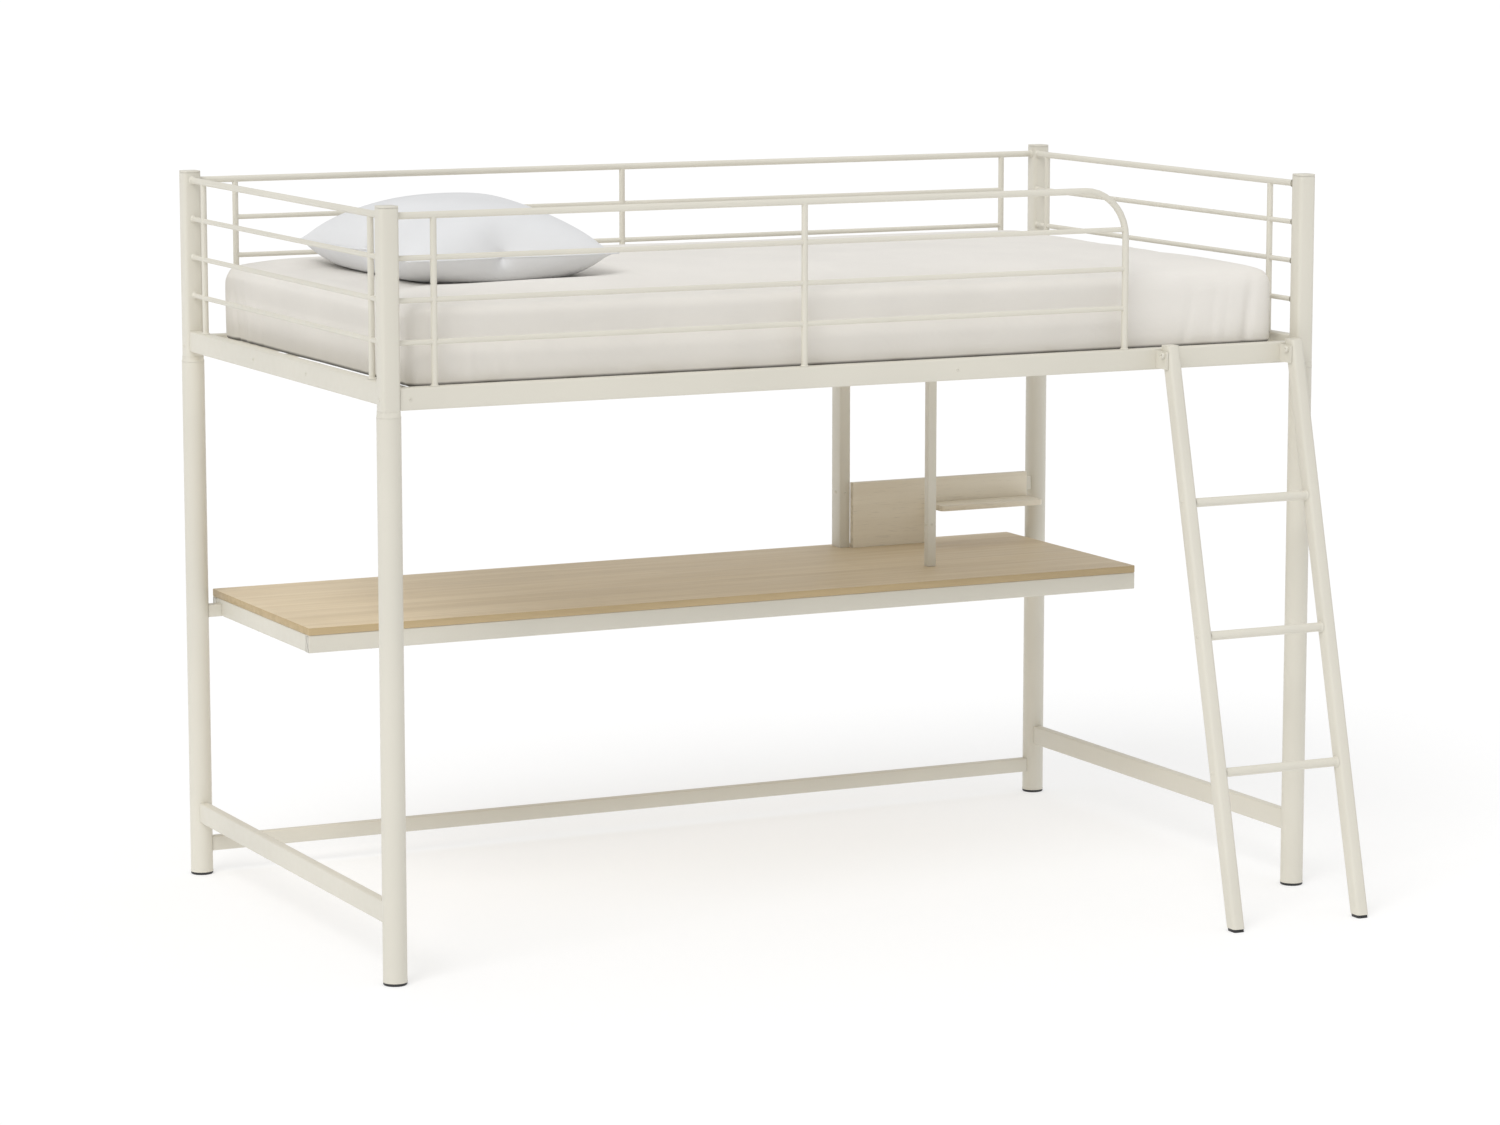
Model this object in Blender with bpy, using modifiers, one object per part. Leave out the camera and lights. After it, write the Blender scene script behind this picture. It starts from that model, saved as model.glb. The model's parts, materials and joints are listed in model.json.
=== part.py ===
"""Metal loft bed with a desk hung under it, a leaning ladder, a mattress and a pillow.

Frame: metres, +Z up, +X from the head end to the foot end, -Y the ladder side.
The origin is on the floor under the middle of the whole object.
"""

import math

import bmesh
import bpy
from mathutils import Matrix, Vector

GAP = 0.0003  # clearance between neighbouring pieces

# Posts
POST_PITCH_X = 1.940
POST_PITCH_Y = 1.060
LADDER_REACH = 0.325  # ladder feet, ahead of the front posts' centres
DESK_OVERHANG = 0.040  # desk's back edge, behind the back posts' centres
HEAD_X = -POST_PITCH_X / 2
FOOT_X = POST_PITCH_X / 2
FRONT_Y = (LADDER_REACH - DESK_OVERHANG - POST_PITCH_Y) / 2
BACK_Y = FRONT_Y + POST_PITCH_Y
LOWER_POST_RADIUS = 0.0225
UPPER_POST_SIZE = 0.036
UPPER_POST_CORNER = 0.007
POST_WALL = 0.0015
POST_JOINT_Z = 1.050
POST_TOP_Z = 1.426
CAP_HEIGHT = 0.004
CAP_PLUG_DEPTH = 0.014
SMALL_EDGE = 0.001  # rounding on the edges of caps and boards
GLIDE_HEIGHT = 0.005
GLIDE_STEM = 0.026
GLIDE_CHAMFER = 0.0015
SPIGOT_REACH = 0.060  # either way from the joint
SPIGOT_WALL = 0.004

# Bed frame
RAIL_WIDTH = 0.025
RAIL_HEIGHT = 0.041
SIDE_RAIL_TOP_Z = 1.101
END_RAIL_TOP_Z = 1.110
RAIL_WALL = 0.0015
TUBE_CORNER = 0.003
SMALL_TUBE_CORNER = 0.002
SHARPEST_CORNER = 0.0008  # inside a thin tube
END_STRETCHER = (0.020, 0.109, 0.149)  # width, bottom, top
BACK_STRETCHER = (0.020, 0.046, 0.076)
STRETCHER_WALL = 0.0015
COPE_CLEARANCE = 0.00045  # between a leg and a tube end shaped to it
COPE_REACH = 0.030  # the shaping cutter, above and below the tube

# Mattress base
SLAT_COUNT = 12
SLAT_WIDTH = 0.030
SLAT_TOP_Z = 1.094
SLAT_THICKNESS = 0.008
END_SLAT_INSET = 0.048
RUNNER_WIDTH = 0.020
RUNNER_BOTTOM_Z = 1.081
RUNNER_LAP = 0.0005  # the runners sink this far into the slats they are welded to
RUNNER_OFFSETS = (0.300, 0.760)
RUNNER_END_INSET = 0.020

# Guard rails
GUARD_TOP_Z = 1.411
GUARD_PITCH_Z = 0.0765
LOWER_BARS = 3
TOP_BAR_RADIUS = 0.0065
BAR_RADIUS = 0.005
UPRIGHT_RADIUS = 0.006
UPRIGHT_SINK = 0.001  # an upright stops this far under the top bar's centre line
HEAD_UPRIGHTS = (0.080, 0.980)  # from the front posts
FOOT_UPRIGHTS = (0.106, 1.002)
FOOT_GUARD_SETBACK = 0.010
BACK_UPRIGHTS = (0.095, 0.946, 1.848)  # from the head posts
FRONT_UPRIGHTS = (0.090, 0.839)
HOOP_END = 1.535
HOOP_BEND_RADIUS = 0.092
HOOP_BEND_STEPS = 9
ROD_SIDES = 12

# Desk
DESK_LEFT = 0.046  # from the head posts
DESK_RIGHT = 1.892
DESK_FRONT = 0.547  # from the front posts
DESK_TOP_Z = 0.578
DESK_BOARD = 0.0145
DESK_FRAME_HEIGHT = 0.0345
DESK_FRAME_WIDTH = 0.020
DESK_FRAME_INSET = 0.0015
DESK_FRAME_WALL = 0.0015
DESK_SEAM = 0.0005  # between the board and its frame
DESK_CORNER = 0.004
DESK_CROSS_X = 0.930
DESK_MOUNT_SIZE = 0.024
DESK_MOUNT_DROP = 0.005

# Hangers between the bed frame and the desk
BACK_HANGER_X = 1.4625
BACK_HANGER = (0.025, 0.040)  # along X, along Y
BACK_HANGER_OUTSET = 0.004  # behind the back rail's middle
FRONT_HANGER_X = 1.502
FRONT_HANGER_Y = 0.731
FRONT_HANGER = (0.020, 0.018)
HANGER_WALL = 0.0015
CROSS_BAR = (0.030, 1.066, 1.080)  # width, bottom, top

# Hutch on the desk's back right
PANEL_FRONT = 1.031  # from the front posts
PANEL_THICKNESS = 0.014
PANEL_TOP_Z = 0.719
PANEL_STEP_X = 1.665
PANEL_RIGHT = 1.902
SHELF_TOP_Z = 0.667
SHELF_THICKNESS = 0.012
SHELF_FRONT = 0.958
SHELF_LEFT = 1.652
SHELF_RIGHT = 1.903
SHELF_CORNER = 0.010
PANEL_BRACKET = (0.050, 0.003, 0.030)
PANEL_BRACKET_RISE = 0.010  # its bottom, over the shelf
PANEL_BRACKET_LAP = 0.0028  # past the front of the leg beside it

# Ladder
LADDER_LEFT = 1.616  # stile centres, from the head posts
LADDER_RIGHT = 1.899
STILE_WIDTH = 0.026
STILE_DEPTH = 0.030
STILE_CORNER = 0.0065
STILE_WALL = 0.0018
STILE_TOP_Z = 1.109
STILE_CORE_OVERRUN = 0.020
PIVOT_SETOUT = 0.042  # pivot, ahead of the front posts' centres
PIVOT_Z = 1.090
LADDER_PAD_INSET = 0.0015  # in from the stile's faces
LADDER_PAD_HEIGHT = 0.006
RUNG_HEIGHTS = (0.297, 0.555, 0.808)
RUNG_RADIUS = 0.009
RUNG_WALL = 0.0015
RUNG_SIDES = 20
BRACKET_THICKNESS = 0.003
BRACKET_REACH = 0.041
BRACKET_MARGIN_Z = 0.003
BRACKET_CLEARANCE = 0.0008
HOLE_OVERRUN = 0.005
BOLT_RADIUS = 0.004
BOLT_HEAD_RADIUS = 0.006
BOLT_HEAD_HEIGHT = 0.003
BOLT_HOLE_RADIUS = 0.0045
BOLT_OVERHANG = 0.002
BOLT_SIDES = 20
SHANK_LAP = 0.001  # the bolt's shank sinks this far into its head

# Bedding
MATTRESS_SIZE = (1.860, 0.990, 0.162)
MATTRESS_ROUNDING = 0.035
PILLOW_SIZE = (0.430, 0.575, 0.148)
PILLOW_ROUNDING = 0.055
PILLOW_X = 0.355  # from the head posts
PILLOW_Y = 0.5495  # from the front posts

IVORY = ("ivory_paint", (0.72, 0.69, 0.60), 0.42, 0.0)
OAK = ("pale_oak", (0.56, 0.43, 0.28), 0.55, 0.0)
GREIGE_OAK = ("greige_oak", (0.58, 0.50, 0.38), 0.60, 0.0)
BLACK = ("black_plastic", (0.03, 0.03, 0.03), 0.55, 0.0)
STEEL = ("zinc_steel", (0.55, 0.55, 0.55), 0.35, 1.0)
SHEET = ("cream_sheet", (0.80, 0.77, 0.70), 0.90, 0.0)
PILLOWCASE = ("white_pillowcase", (0.84, 0.84, 0.85), 0.90, 0.0)

# How an outline's plane is turned so that its depth runs along the named axis
TURNS = {
    "X": (math.pi / 2, 0.0, math.pi / 2),  # outline in (Y, Z)
    "Y": (math.pi / 2, 0.0, 0.0),  # outline in (X, Z)
    "Z": (0.0, 0.0, 0.0),  # outline in (X, Y)
}


def clear_scene():
    for obj in list(bpy.data.objects):
        bpy.data.objects.remove(obj, do_unlink=True)


def new_collection(name):
    collection = bpy.data.collections.new(name)
    bpy.context.scene.collection.children.link(collection)
    return collection


def finish(obj, kind):
    """Give the object its own Principled material of this kind."""
    name, colour, roughness, metallic = kind
    material = bpy.data.materials.new(f"{name}.{obj.name}")
    material.use_nodes = True
    shader = material.node_tree.nodes["Principled BSDF"]
    shader.inputs["Base Color"].default_value = (*colour, 1.0)
    shader.inputs["Roughness"].default_value = roughness
    shader.inputs["Metallic"].default_value = metallic
    obj.data.materials.clear()
    obj.data.materials.append(material)


def keep(obj, kind):
    """Put a finished sub-part in the bed's collection with its material."""
    PARTS.objects.link(obj)
    finish(obj, kind)
    return obj


def hide_cutter(obj):
    CUTTERS.objects.link(obj)
    obj.hide_render = True
    obj.display_type = "WIRE"
    return obj


# Outlines


def rounded_rectangle(width, height, radius, steps=3):
    points = []
    for corner in range(4):
        cx = (width / 2 - radius) * (1 if corner in (0, 3) else -1)
        cy = (height / 2 - radius) * (1 if corner in (0, 1) else -1)
        for step in range(steps + 1):
            angle = math.pi / 2 * (corner + step / steps)
            points.append((cx + radius * math.cos(angle), cy + radius * math.sin(angle)))
    return points


def ring(radius, sides=32):
    turns = [2 * math.pi * side / sides for side in range(sides)]
    return [(radius * math.cos(turn), radius * math.sin(turn)) for turn in turns]


def hollow_rectangle(width, height, radius, wall):
    outer = rounded_rectangle(width, height, radius)
    inner = rounded_rectangle(width - 2 * wall, height - 2 * wall, max(radius - wall, SHARPEST_CORNER))
    return [outer, inner]


# Solids


def prism(name, outlines, depth, centre, axis="Z", edge=0.0):
    """A flat outline, with any inner outlines as holes, given a depth along one axis."""
    curve = bpy.data.curves.new(name, "CURVE")
    curve.dimensions = "2D"
    curve.fill_mode = "BOTH"
    curve.extrude = depth / 2 - edge
    curve.bevel_depth = edge
    curve.bevel_resolution = 1
    curve.offset = -edge
    for outline in outlines:
        spline = curve.splines.new("POLY")
        spline.points.add(len(outline) - 1)
        for point, (x, y) in zip(spline.points, outline):
            point.co = (x, y, 0.0, 1.0)
        spline.use_cyclic_u = True
    obj = bpy.data.objects.new(name, curve)
    obj.rotation_euler = TURNS[axis]
    obj.location = centre
    return obj


def meshed(curve_object):
    """The same solid as a mesh with its caps welded on, in the curve object's place."""
    name = curve_object.name
    scene = bpy.context.scene.collection
    scene.objects.link(curve_object)
    bpy.context.view_layer.update()
    placing = curve_object.matrix_world.copy()
    evaluated = curve_object.evaluated_get(bpy.context.evaluated_depsgraph_get())
    mesh = bpy.data.meshes.new_from_object(evaluated)
    bpy.data.objects.remove(curve_object, do_unlink=True)
    bm = bmesh.new()
    bm.from_mesh(mesh)
    bmesh.ops.remove_doubles(bm, verts=bm.verts, dist=0.00001)
    bm.to_mesh(mesh)
    bm.free()
    obj = bpy.data.objects.new(name, mesh)
    obj.matrix_world = placing
    return obj


def tube_between(name, start, end, outlines, axis):
    """A straight tube of the given section from start to end along one axis."""
    middle = (Vector(start) + Vector(end)) / 2
    return prism(name, outlines, (Vector(end) - Vector(start)).length, middle, axis)


def rods(name, segments, radius, sides=ROD_SIDES):
    """Straight round bars, one for each (start, end) pair, in one mesh."""
    bm = bmesh.new()
    for start, end in segments:
        start, end = Vector(start), Vector(end)
        along = end - start
        placing = Matrix.Translation((start + end) / 2) @ along.to_track_quat("Z", "Y").to_matrix().to_4x4()
        bmesh.ops.create_cone(
            bm,
            cap_ends=True,
            segments=sides,
            radius1=radius,
            radius2=radius,
            depth=along.length,
            matrix=placing,
        )
    return mesh_object(name, bm)


def blocks(name, boxes):
    """Plain blocks, one for each (low corner, high corner) pair, in one mesh."""
    bm = bmesh.new()
    for low, high in boxes:
        low, high = Vector(low), Vector(high)
        size = high - low
        placing = Matrix.Translation((low + high) / 2) @ Matrix.Diagonal((*size, 1.0))
        bmesh.ops.create_cube(bm, size=1.0, matrix=placing)
    return mesh_object(name, bm)


def mesh_object(name, bm):
    mesh = bpy.data.meshes.new(name)
    bm.to_mesh(mesh)
    bm.free()
    return bpy.data.objects.new(name, mesh)


def turned(name, profile, centre, sides=24):
    """A profile in (radius, height), run down its outer side, turned about Z."""
    mesh = bpy.data.meshes.new(name)
    count = len(profile)
    edges = [(index, (index + 1) % count) for index in range(count)]
    mesh.from_pydata([(radius, 0.0, height) for radius, height in profile], edges, [])
    obj = bpy.data.objects.new(name, mesh)
    obj.location = centre
    screw = obj.modifiers.new("turn", "SCREW")
    screw.steps = sides
    screw.render_steps = sides
    screw.use_merge_vertices = True
    screw.merge_threshold = 0.00001
    return obj


def swept_rod(name, points, radius):
    """A bent round bar along a row of points, as a mesh."""
    curve = bpy.data.curves.new(name, "CURVE")
    curve.dimensions = "3D"
    curve.bevel_depth = radius
    curve.bevel_resolution = 4
    curve.use_fill_caps = True
    spline = curve.splines.new("POLY")
    spline.points.add(len(points) - 1)
    for point, place in zip(spline.points, points):
        point.co = (*place, 1.0)
    return meshed(bpy.data.objects.new(name, curve))


def soft_block(name, size, rounding, centre):
    low = [-value / 2 for value in size]
    high = [value / 2 for value in size]
    obj = blocks(name, [(low, high)])
    obj.location = centre
    bevel = obj.modifiers.new("soft_edges", "BEVEL")
    bevel.width = rounding
    bevel.segments = 3
    return obj


def boolean(obj, other, operation):
    hide_cutter(other)
    modifier = obj.modifiers.new(other.name, "BOOLEAN")
    modifier.operation = operation
    modifier.solver = "EXACT"
    modifier.object = other


def post_positions():
    for end, x in (("head", HEAD_X), ("foot", FOOT_X)):
        for side, y in (("front", FRONT_Y), ("back", BACK_Y)):
            yield f"{end}_{side}", x, y


# Sub-assemblies


def build_posts():
    """Round legs, square upper posts, the spigots that join them, caps and glides."""
    lower_bottom = GLIDE_HEIGHT + GAP
    lower_top = POST_JOINT_Z - GAP
    round_section = [ring(LOWER_POST_RADIUS), ring(LOWER_POST_RADIUS - POST_WALL)]
    square_section = hollow_rectangle(UPPER_POST_SIZE, UPPER_POST_SIZE, UPPER_POST_CORNER, POST_WALL)
    round_bore = LOWER_POST_RADIUS - POST_WALL - 2 * GAP
    square_bore = UPPER_POST_SIZE / 2 - POST_WALL - GAP
    for corner, x, y in post_positions():
        ends = (x, y, lower_bottom), (x, y, lower_top)
        keep(tube_between(f"lower_post_{corner}", *ends, round_section, "Z"), IVORY)
        ends = (x, y, POST_JOINT_Z), (x, y, POST_TOP_Z)
        keep(tube_between(f"upper_post_{corner}", *ends, square_section, "Z"), IVORY)
        keep(post_spigot(f"post_spigot_{corner}", x, y, round_bore, square_bore), STEEL)
        keep(foot_glide(f"foot_glide_{corner}", x, y, round_bore), BLACK)
        keep(post_cap(f"post_cap_{corner}", x, y), IVORY)


def post_spigot(name, x, y, lower_radius, upper_radius):
    bore = upper_radius - SPIGOT_WALL
    shoulder = POST_JOINT_Z - 2 * GAP
    profile = [
        (upper_radius, POST_JOINT_Z + SPIGOT_REACH),
        (upper_radius, shoulder),
        (lower_radius, shoulder),
        (lower_radius, POST_JOINT_Z - SPIGOT_REACH),
        (bore, POST_JOINT_Z - SPIGOT_REACH),
        (bore, POST_JOINT_Z + SPIGOT_REACH),
    ]
    return turned(name, profile, (x, y, 0.0))


def foot_glide(name, x, y, stem_radius):
    """A plastic foot whose stem plugs into the leg, open up the middle."""
    bore = stem_radius - SPIGOT_WALL
    profile = [
        (stem_radius, GLIDE_STEM),
        (stem_radius, GLIDE_HEIGHT),
        (LOWER_POST_RADIUS, GLIDE_HEIGHT),
        (LOWER_POST_RADIUS, GLIDE_CHAMFER),
        (LOWER_POST_RADIUS - GLIDE_CHAMFER, 0.0),
        (bore, 0.0),
        (bore, GLIDE_STEM),
    ]
    return turned(name, profile, (x, y, 0.0))


def post_cap(name, x, y):
    plate_bottom = POST_TOP_Z + GAP
    plate = rounded_rectangle(UPPER_POST_SIZE, UPPER_POST_SIZE, UPPER_POST_CORNER)
    plug_size = UPPER_POST_SIZE - 2 * POST_WALL - 2 * GAP
    plug = rounded_rectangle(plug_size, plug_size, UPPER_POST_CORNER - POST_WALL)
    plate_centre = (x, y, plate_bottom + CAP_HEIGHT / 2)
    cap = meshed(prism(name, [plate], CAP_HEIGHT, plate_centre, edge=SMALL_EDGE))
    plug_bottom = POST_TOP_Z - CAP_PLUG_DEPTH
    plug_depth = plate_bottom + CAP_HEIGHT - SMALL_EDGE - plug_bottom
    plug_centre = (x, y, plug_bottom + plug_depth / 2)
    boolean(cap, meshed(prism(f"{name}_plug", [plug], plug_depth, plug_centre)), "UNION")
    return cap


def build_rails():
    """Side rails, end rails a little above them, and the crosswise support bar."""
    reach = UPPER_POST_SIZE / 2 + GAP
    section = hollow_rectangle(RAIL_WIDTH, RAIL_HEIGHT, TUBE_CORNER, RAIL_WALL)
    z = SIDE_RAIL_TOP_Z - RAIL_HEIGHT / 2
    for side, y in (("front", FRONT_Y), ("back", BACK_Y)):
        ends = (HEAD_X + reach, y, z), (FOOT_X - reach, y, z)
        keep(tube_between(f"side_rail_{side}", *ends, section, "X"), IVORY)
    z = END_RAIL_TOP_Z - RAIL_HEIGHT / 2
    for end, x in (("head", HEAD_X), ("foot", FOOT_X)):
        ends = (x, FRONT_Y + reach, z), (x, BACK_Y - reach, z)
        keep(tube_between(f"end_rail_{end}", *ends, section, "Y"), IVORY)
    width, bottom, top = CROSS_BAR
    bar_section = hollow_rectangle(width, top - bottom, SMALL_TUBE_CORNER, RAIL_WALL)
    x = HEAD_X + FRONT_HANGER_X
    z = (bottom + top) / 2
    inside = RAIL_WIDTH / 2 + GAP
    ends = (x, FRONT_Y + inside, z), (x, BACK_Y - inside, z)
    keep(tube_between("cross_support", *ends, bar_section, "Y"), IVORY)


def build_stretchers():
    """Low tubes between the legs, their ends shaped to the round legs."""
    for end, x in (("head", HEAD_X), ("foot", FOOT_X)):
        coped_stretcher(f"stretcher_{end}", (x, FRONT_Y), (x, BACK_Y), END_STRETCHER, "Y")
    coped_stretcher("stretcher_back", (HEAD_X, BACK_Y), (FOOT_X, BACK_Y), BACK_STRETCHER, "X")


def coped_stretcher(name, first_leg, second_leg, size, axis):
    width, bottom, top = size
    section = hollow_rectangle(width, top - bottom, TUBE_CORNER, STRETCHER_WALL)
    z = (bottom + top) / 2
    ends = (*first_leg, z), (*second_leg, z)
    tube = meshed(tube_between(name, *ends, section, axis))
    cut_to_legs(tube, ends)
    keep(tube, IVORY)


def cut_to_legs(solid, legs):
    half = Vector((0.0, 0.0, COPE_REACH))
    segments = [(Vector(leg) - half, Vector(leg) + half) for leg in legs]
    cutter = rods(f"{solid.name}_leg_cut", segments, LOWER_POST_RADIUS + COPE_CLEARANCE, sides=32)
    boolean(solid, cutter, "DIFFERENCE")


def build_slat_base():
    """Flat steel slats welded on two runners."""
    inside = RAIL_WIDTH / 2 + GAP
    pitch = (POST_PITCH_X - 2 * END_SLAT_INSET) / (SLAT_COUNT - 1)
    slats = []
    for index in range(SLAT_COUNT):
        x = HEAD_X + END_SLAT_INSET + index * pitch
        low = (x - SLAT_WIDTH / 2, FRONT_Y + inside, SLAT_TOP_Z - SLAT_THICKNESS)
        slats.append((low, (x + SLAT_WIDTH / 2, BACK_Y - inside, SLAT_TOP_Z)))
    runners = []
    for offset in RUNNER_OFFSETS:
        y = FRONT_Y + offset
        low = (HEAD_X + RUNNER_END_INSET, y - RUNNER_WIDTH / 2, RUNNER_BOTTOM_Z)
        top = SLAT_TOP_Z - SLAT_THICKNESS + RUNNER_LAP
        runners.append((low, (FOOT_X - RUNNER_END_INSET, y + RUNNER_WIDTH / 2, top)))
    base = blocks("slat_base", slats)
    boolean(base, blocks("slat_base_runners", runners), "UNION")
    keep(base, IVORY)


def bar_heights():
    return [GUARD_TOP_Z - GUARD_PITCH_Z * (row + 1) for row in range(LOWER_BARS)]


def weld_guard(guard, lower_bars, uprights, rail_top):
    """Join the lower bars, and uprights that stand on a bed rail, to a guard's top bar."""
    name = guard.name
    low, high = rail_top + GAP, GUARD_TOP_Z - UPRIGHT_SINK
    segments = [((x, y, low), (x, y, high)) for x, y in uprights]
    boolean(guard, rods(f"{name}_uprights", segments, UPRIGHT_RADIUS), "UNION")
    boolean(guard, rods(f"{name}_bars", lower_bars, BAR_RADIUS), "UNION")
    keep(guard, IVORY)


def build_guards():
    """Four welded guard rails standing on the bed rails."""
    reach = UPPER_POST_SIZE / 2 + GAP
    near, far = FRONT_Y + reach, BACK_Y - reach
    ends = ("head", HEAD_X, HEAD_UPRIGHTS), ("foot", FOOT_X - FOOT_GUARD_SETBACK, FOOT_UPRIGHTS)
    for end, x, offsets in ends:
        top_bar = rods(f"guard_{end}", [((x, near, GUARD_TOP_Z), (x, far, GUARD_TOP_Z))], TOP_BAR_RADIUS)
        bars = [((x, near, z), (x, far, z)) for z in bar_heights()]
        uprights = [(x, FRONT_Y + offset) for offset in offsets]
        weld_guard(top_bar, bars, uprights, END_RAIL_TOP_Z)

    left, right = HEAD_X + reach, FOOT_X - reach
    top_ends = (left, BACK_Y, GUARD_TOP_Z), (right, BACK_Y, GUARD_TOP_Z)
    top_bar = rods("guard_back", [top_ends], TOP_BAR_RADIUS)
    uprights = [(HEAD_X + offset, BACK_Y) for offset in BACK_UPRIGHTS]
    first, last = uprights[0][0], uprights[-1][0]
    bars = [((first, BACK_Y, z), (last, BACK_Y, z)) for z in bar_heights()]
    weld_guard(top_bar, bars, uprights, SIDE_RAIL_TOP_Z)

    hoop = swept_rod("guard_front", hoop_path(), TOP_BAR_RADIUS)
    uprights = [(HEAD_X + offset, FRONT_Y) for offset in FRONT_UPRIGHTS]
    bars = [((left, FRONT_Y, z), (HEAD_X + HOOP_END, FRONT_Y, z)) for z in bar_heights()]
    weld_guard(hoop, bars, uprights, SIDE_RAIL_TOP_Z)


def hoop_path():
    """Along the top from the head post, round the bend and down to the rail."""
    end_x = HEAD_X + HOOP_END
    start = (HEAD_X + UPPER_POST_SIZE / 2 + GAP, FRONT_Y, GUARD_TOP_Z)
    centre_x = end_x - HOOP_BEND_RADIUS
    centre_z = GUARD_TOP_Z - HOOP_BEND_RADIUS
    bend = []
    for step in range(HOOP_BEND_STEPS + 1):
        angle = math.pi / 2 * (1 - step / HOOP_BEND_STEPS)
        x = centre_x + HOOP_BEND_RADIUS * math.cos(angle)
        bend.append((x, FRONT_Y, centre_z + HOOP_BEND_RADIUS * math.sin(angle)))
    return [start, *bend, (end_x, FRONT_Y, SIDE_RAIL_TOP_Z + GAP)]


def build_desk():
    """The oak board, the steel frame under it and the blocks that hold it to the legs."""
    left, right = HEAD_X + DESK_LEFT, HEAD_X + DESK_RIGHT
    front, back = FRONT_Y + DESK_FRONT, BACK_Y + DESK_OVERHANG
    centre = ((left + right) / 2, (front + back) / 2, DESK_TOP_Z - DESK_BOARD / 2)
    outline = rounded_rectangle(right - left, back - front, DESK_CORNER, steps=2)
    keep(prism("desk_top", [outline], DESK_BOARD, centre, edge=SMALL_EDGE), OAK)

    top = DESK_TOP_Z - DESK_BOARD - DESK_SEAM
    z = top - DESK_FRAME_HEIGHT / 2
    half = DESK_FRAME_WIDTH / 2
    section = hollow_rectangle(DESK_FRAME_WIDTH, DESK_FRAME_HEIGHT, SMALL_TUBE_CORNER, DESK_FRAME_WALL)
    near, far = front + DESK_FRAME_INSET + half, back - DESK_FRAME_INSET - half
    west, east = left + DESK_FRAME_INSET, right - DESK_FRAME_INSET
    for name, y in (("desk_rail_front", near), ("desk_rail_back", far)):
        keep(tube_between(name, (west, y, z), (east, y, z), section, "X"), IVORY)
    inner_near, inner_far = near + half + GAP, far - half - GAP
    arms = (
        ("desk_arm_head", west + half),
        ("desk_arm_middle", HEAD_X + DESK_CROSS_X),
        ("desk_arm_foot", east - half),
    )
    for name, x in arms:
        keep(tube_between(name, (x, inner_near, z), (x, inner_far, z), section, "Y"), IVORY)

    for end, leg_x, face_x in (("head", HEAD_X, west), ("foot", FOOT_X, east)):
        inward = 1 if end == "head" else -1
        mount_half = DESK_MOUNT_SIZE / 2
        mount_z = z - DESK_MOUNT_DROP
        xs = sorted((leg_x, face_x - inward * GAP))
        low = (xs[0], BACK_Y - mount_half, mount_z - mount_half)
        high = (xs[1], BACK_Y + mount_half, mount_z + mount_half)
        mount = blocks(f"desk_mount_{end}", [(low, high)])
        cut_to_legs(mount, [(leg_x, BACK_Y, mount_z)])
        keep(mount, IVORY)


def build_hangers():
    """Two square tubes that hang the desk's inner side from the bed frame."""
    bottom = DESK_TOP_Z + GAP
    x, y = HEAD_X + BACK_HANGER_X, BACK_Y + BACK_HANGER_OUTSET
    section = hollow_rectangle(*BACK_HANGER, TUBE_CORNER, HANGER_WALL)
    ends = (x, y, bottom), (x, y, SIDE_RAIL_TOP_Z - RAIL_HEIGHT - GAP)
    keep(tube_between("hanger_back", *ends, section, "Z"), IVORY)
    x, y = HEAD_X + FRONT_HANGER_X, FRONT_Y + FRONT_HANGER_Y
    section = hollow_rectangle(*FRONT_HANGER, TUBE_CORNER, HANGER_WALL)
    cross_bar_bottom = CROSS_BAR[1]
    ends = (x, y, bottom), (x, y, cross_bar_bottom - GAP)
    keep(tube_between("hanger_front", *ends, section, "Z"), IVORY)


def build_hutch():
    """An L-shaped back panel standing on the desk, with a narrow shelf on its low stretch."""
    left = BACK_HANGER_X + BACK_HANGER[0] / 2 + GAP
    shelf_bottom = SHELF_TOP_Z - SHELF_THICKNESS
    bottom = DESK_TOP_Z + GAP
    outline = [
        (HEAD_X + left, bottom),
        (HEAD_X + PANEL_STEP_X, bottom),
        (HEAD_X + PANEL_STEP_X, shelf_bottom),
        (HEAD_X + PANEL_RIGHT, shelf_bottom),
        (HEAD_X + PANEL_RIGHT, PANEL_TOP_Z),
        (HEAD_X + left, PANEL_TOP_Z),
    ]
    panel_y = FRONT_Y + PANEL_FRONT
    panel = prism("hutch_panel", [outline], PANEL_THICKNESS, (0.0, panel_y + PANEL_THICKNESS / 2, 0.0), "Y")
    keep(panel, GREIGE_OAK)

    shelf_y = FRONT_Y + SHELF_FRONT
    depth = panel_y - GAP - shelf_y
    x = HEAD_X + (SHELF_LEFT + SHELF_RIGHT) / 2
    outline = shelf_outline(SHELF_RIGHT - SHELF_LEFT, depth)
    centre = (x, shelf_y + depth / 2, SHELF_TOP_Z - SHELF_THICKNESS / 2)
    keep(prism("hutch_shelf", [outline], SHELF_THICKNESS, centre, edge=SMALL_EDGE), GREIGE_OAK)

    width, thickness, height = PANEL_BRACKET
    behind = panel_y + PANEL_THICKNESS + GAP
    right = FOOT_X - LOWER_POST_RADIUS + PANEL_BRACKET_LAP
    bottom = SHELF_TOP_Z + PANEL_BRACKET_RISE
    low = (right - width, behind, bottom)
    high = (right, behind + thickness, bottom + height)
    keep(blocks("panel_bracket", [(low, high)]), IVORY)


def shelf_outline(length, depth):
    """A rectangle whose two front corners are rounded."""
    rounded = rounded_rectangle(length, depth, SHELF_CORNER)
    steps = len(rounded) // 4
    front_corners = rounded[2 * steps :]
    return [(length / 2, depth / 2), (-length / 2, depth / 2), *front_corners]


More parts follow.
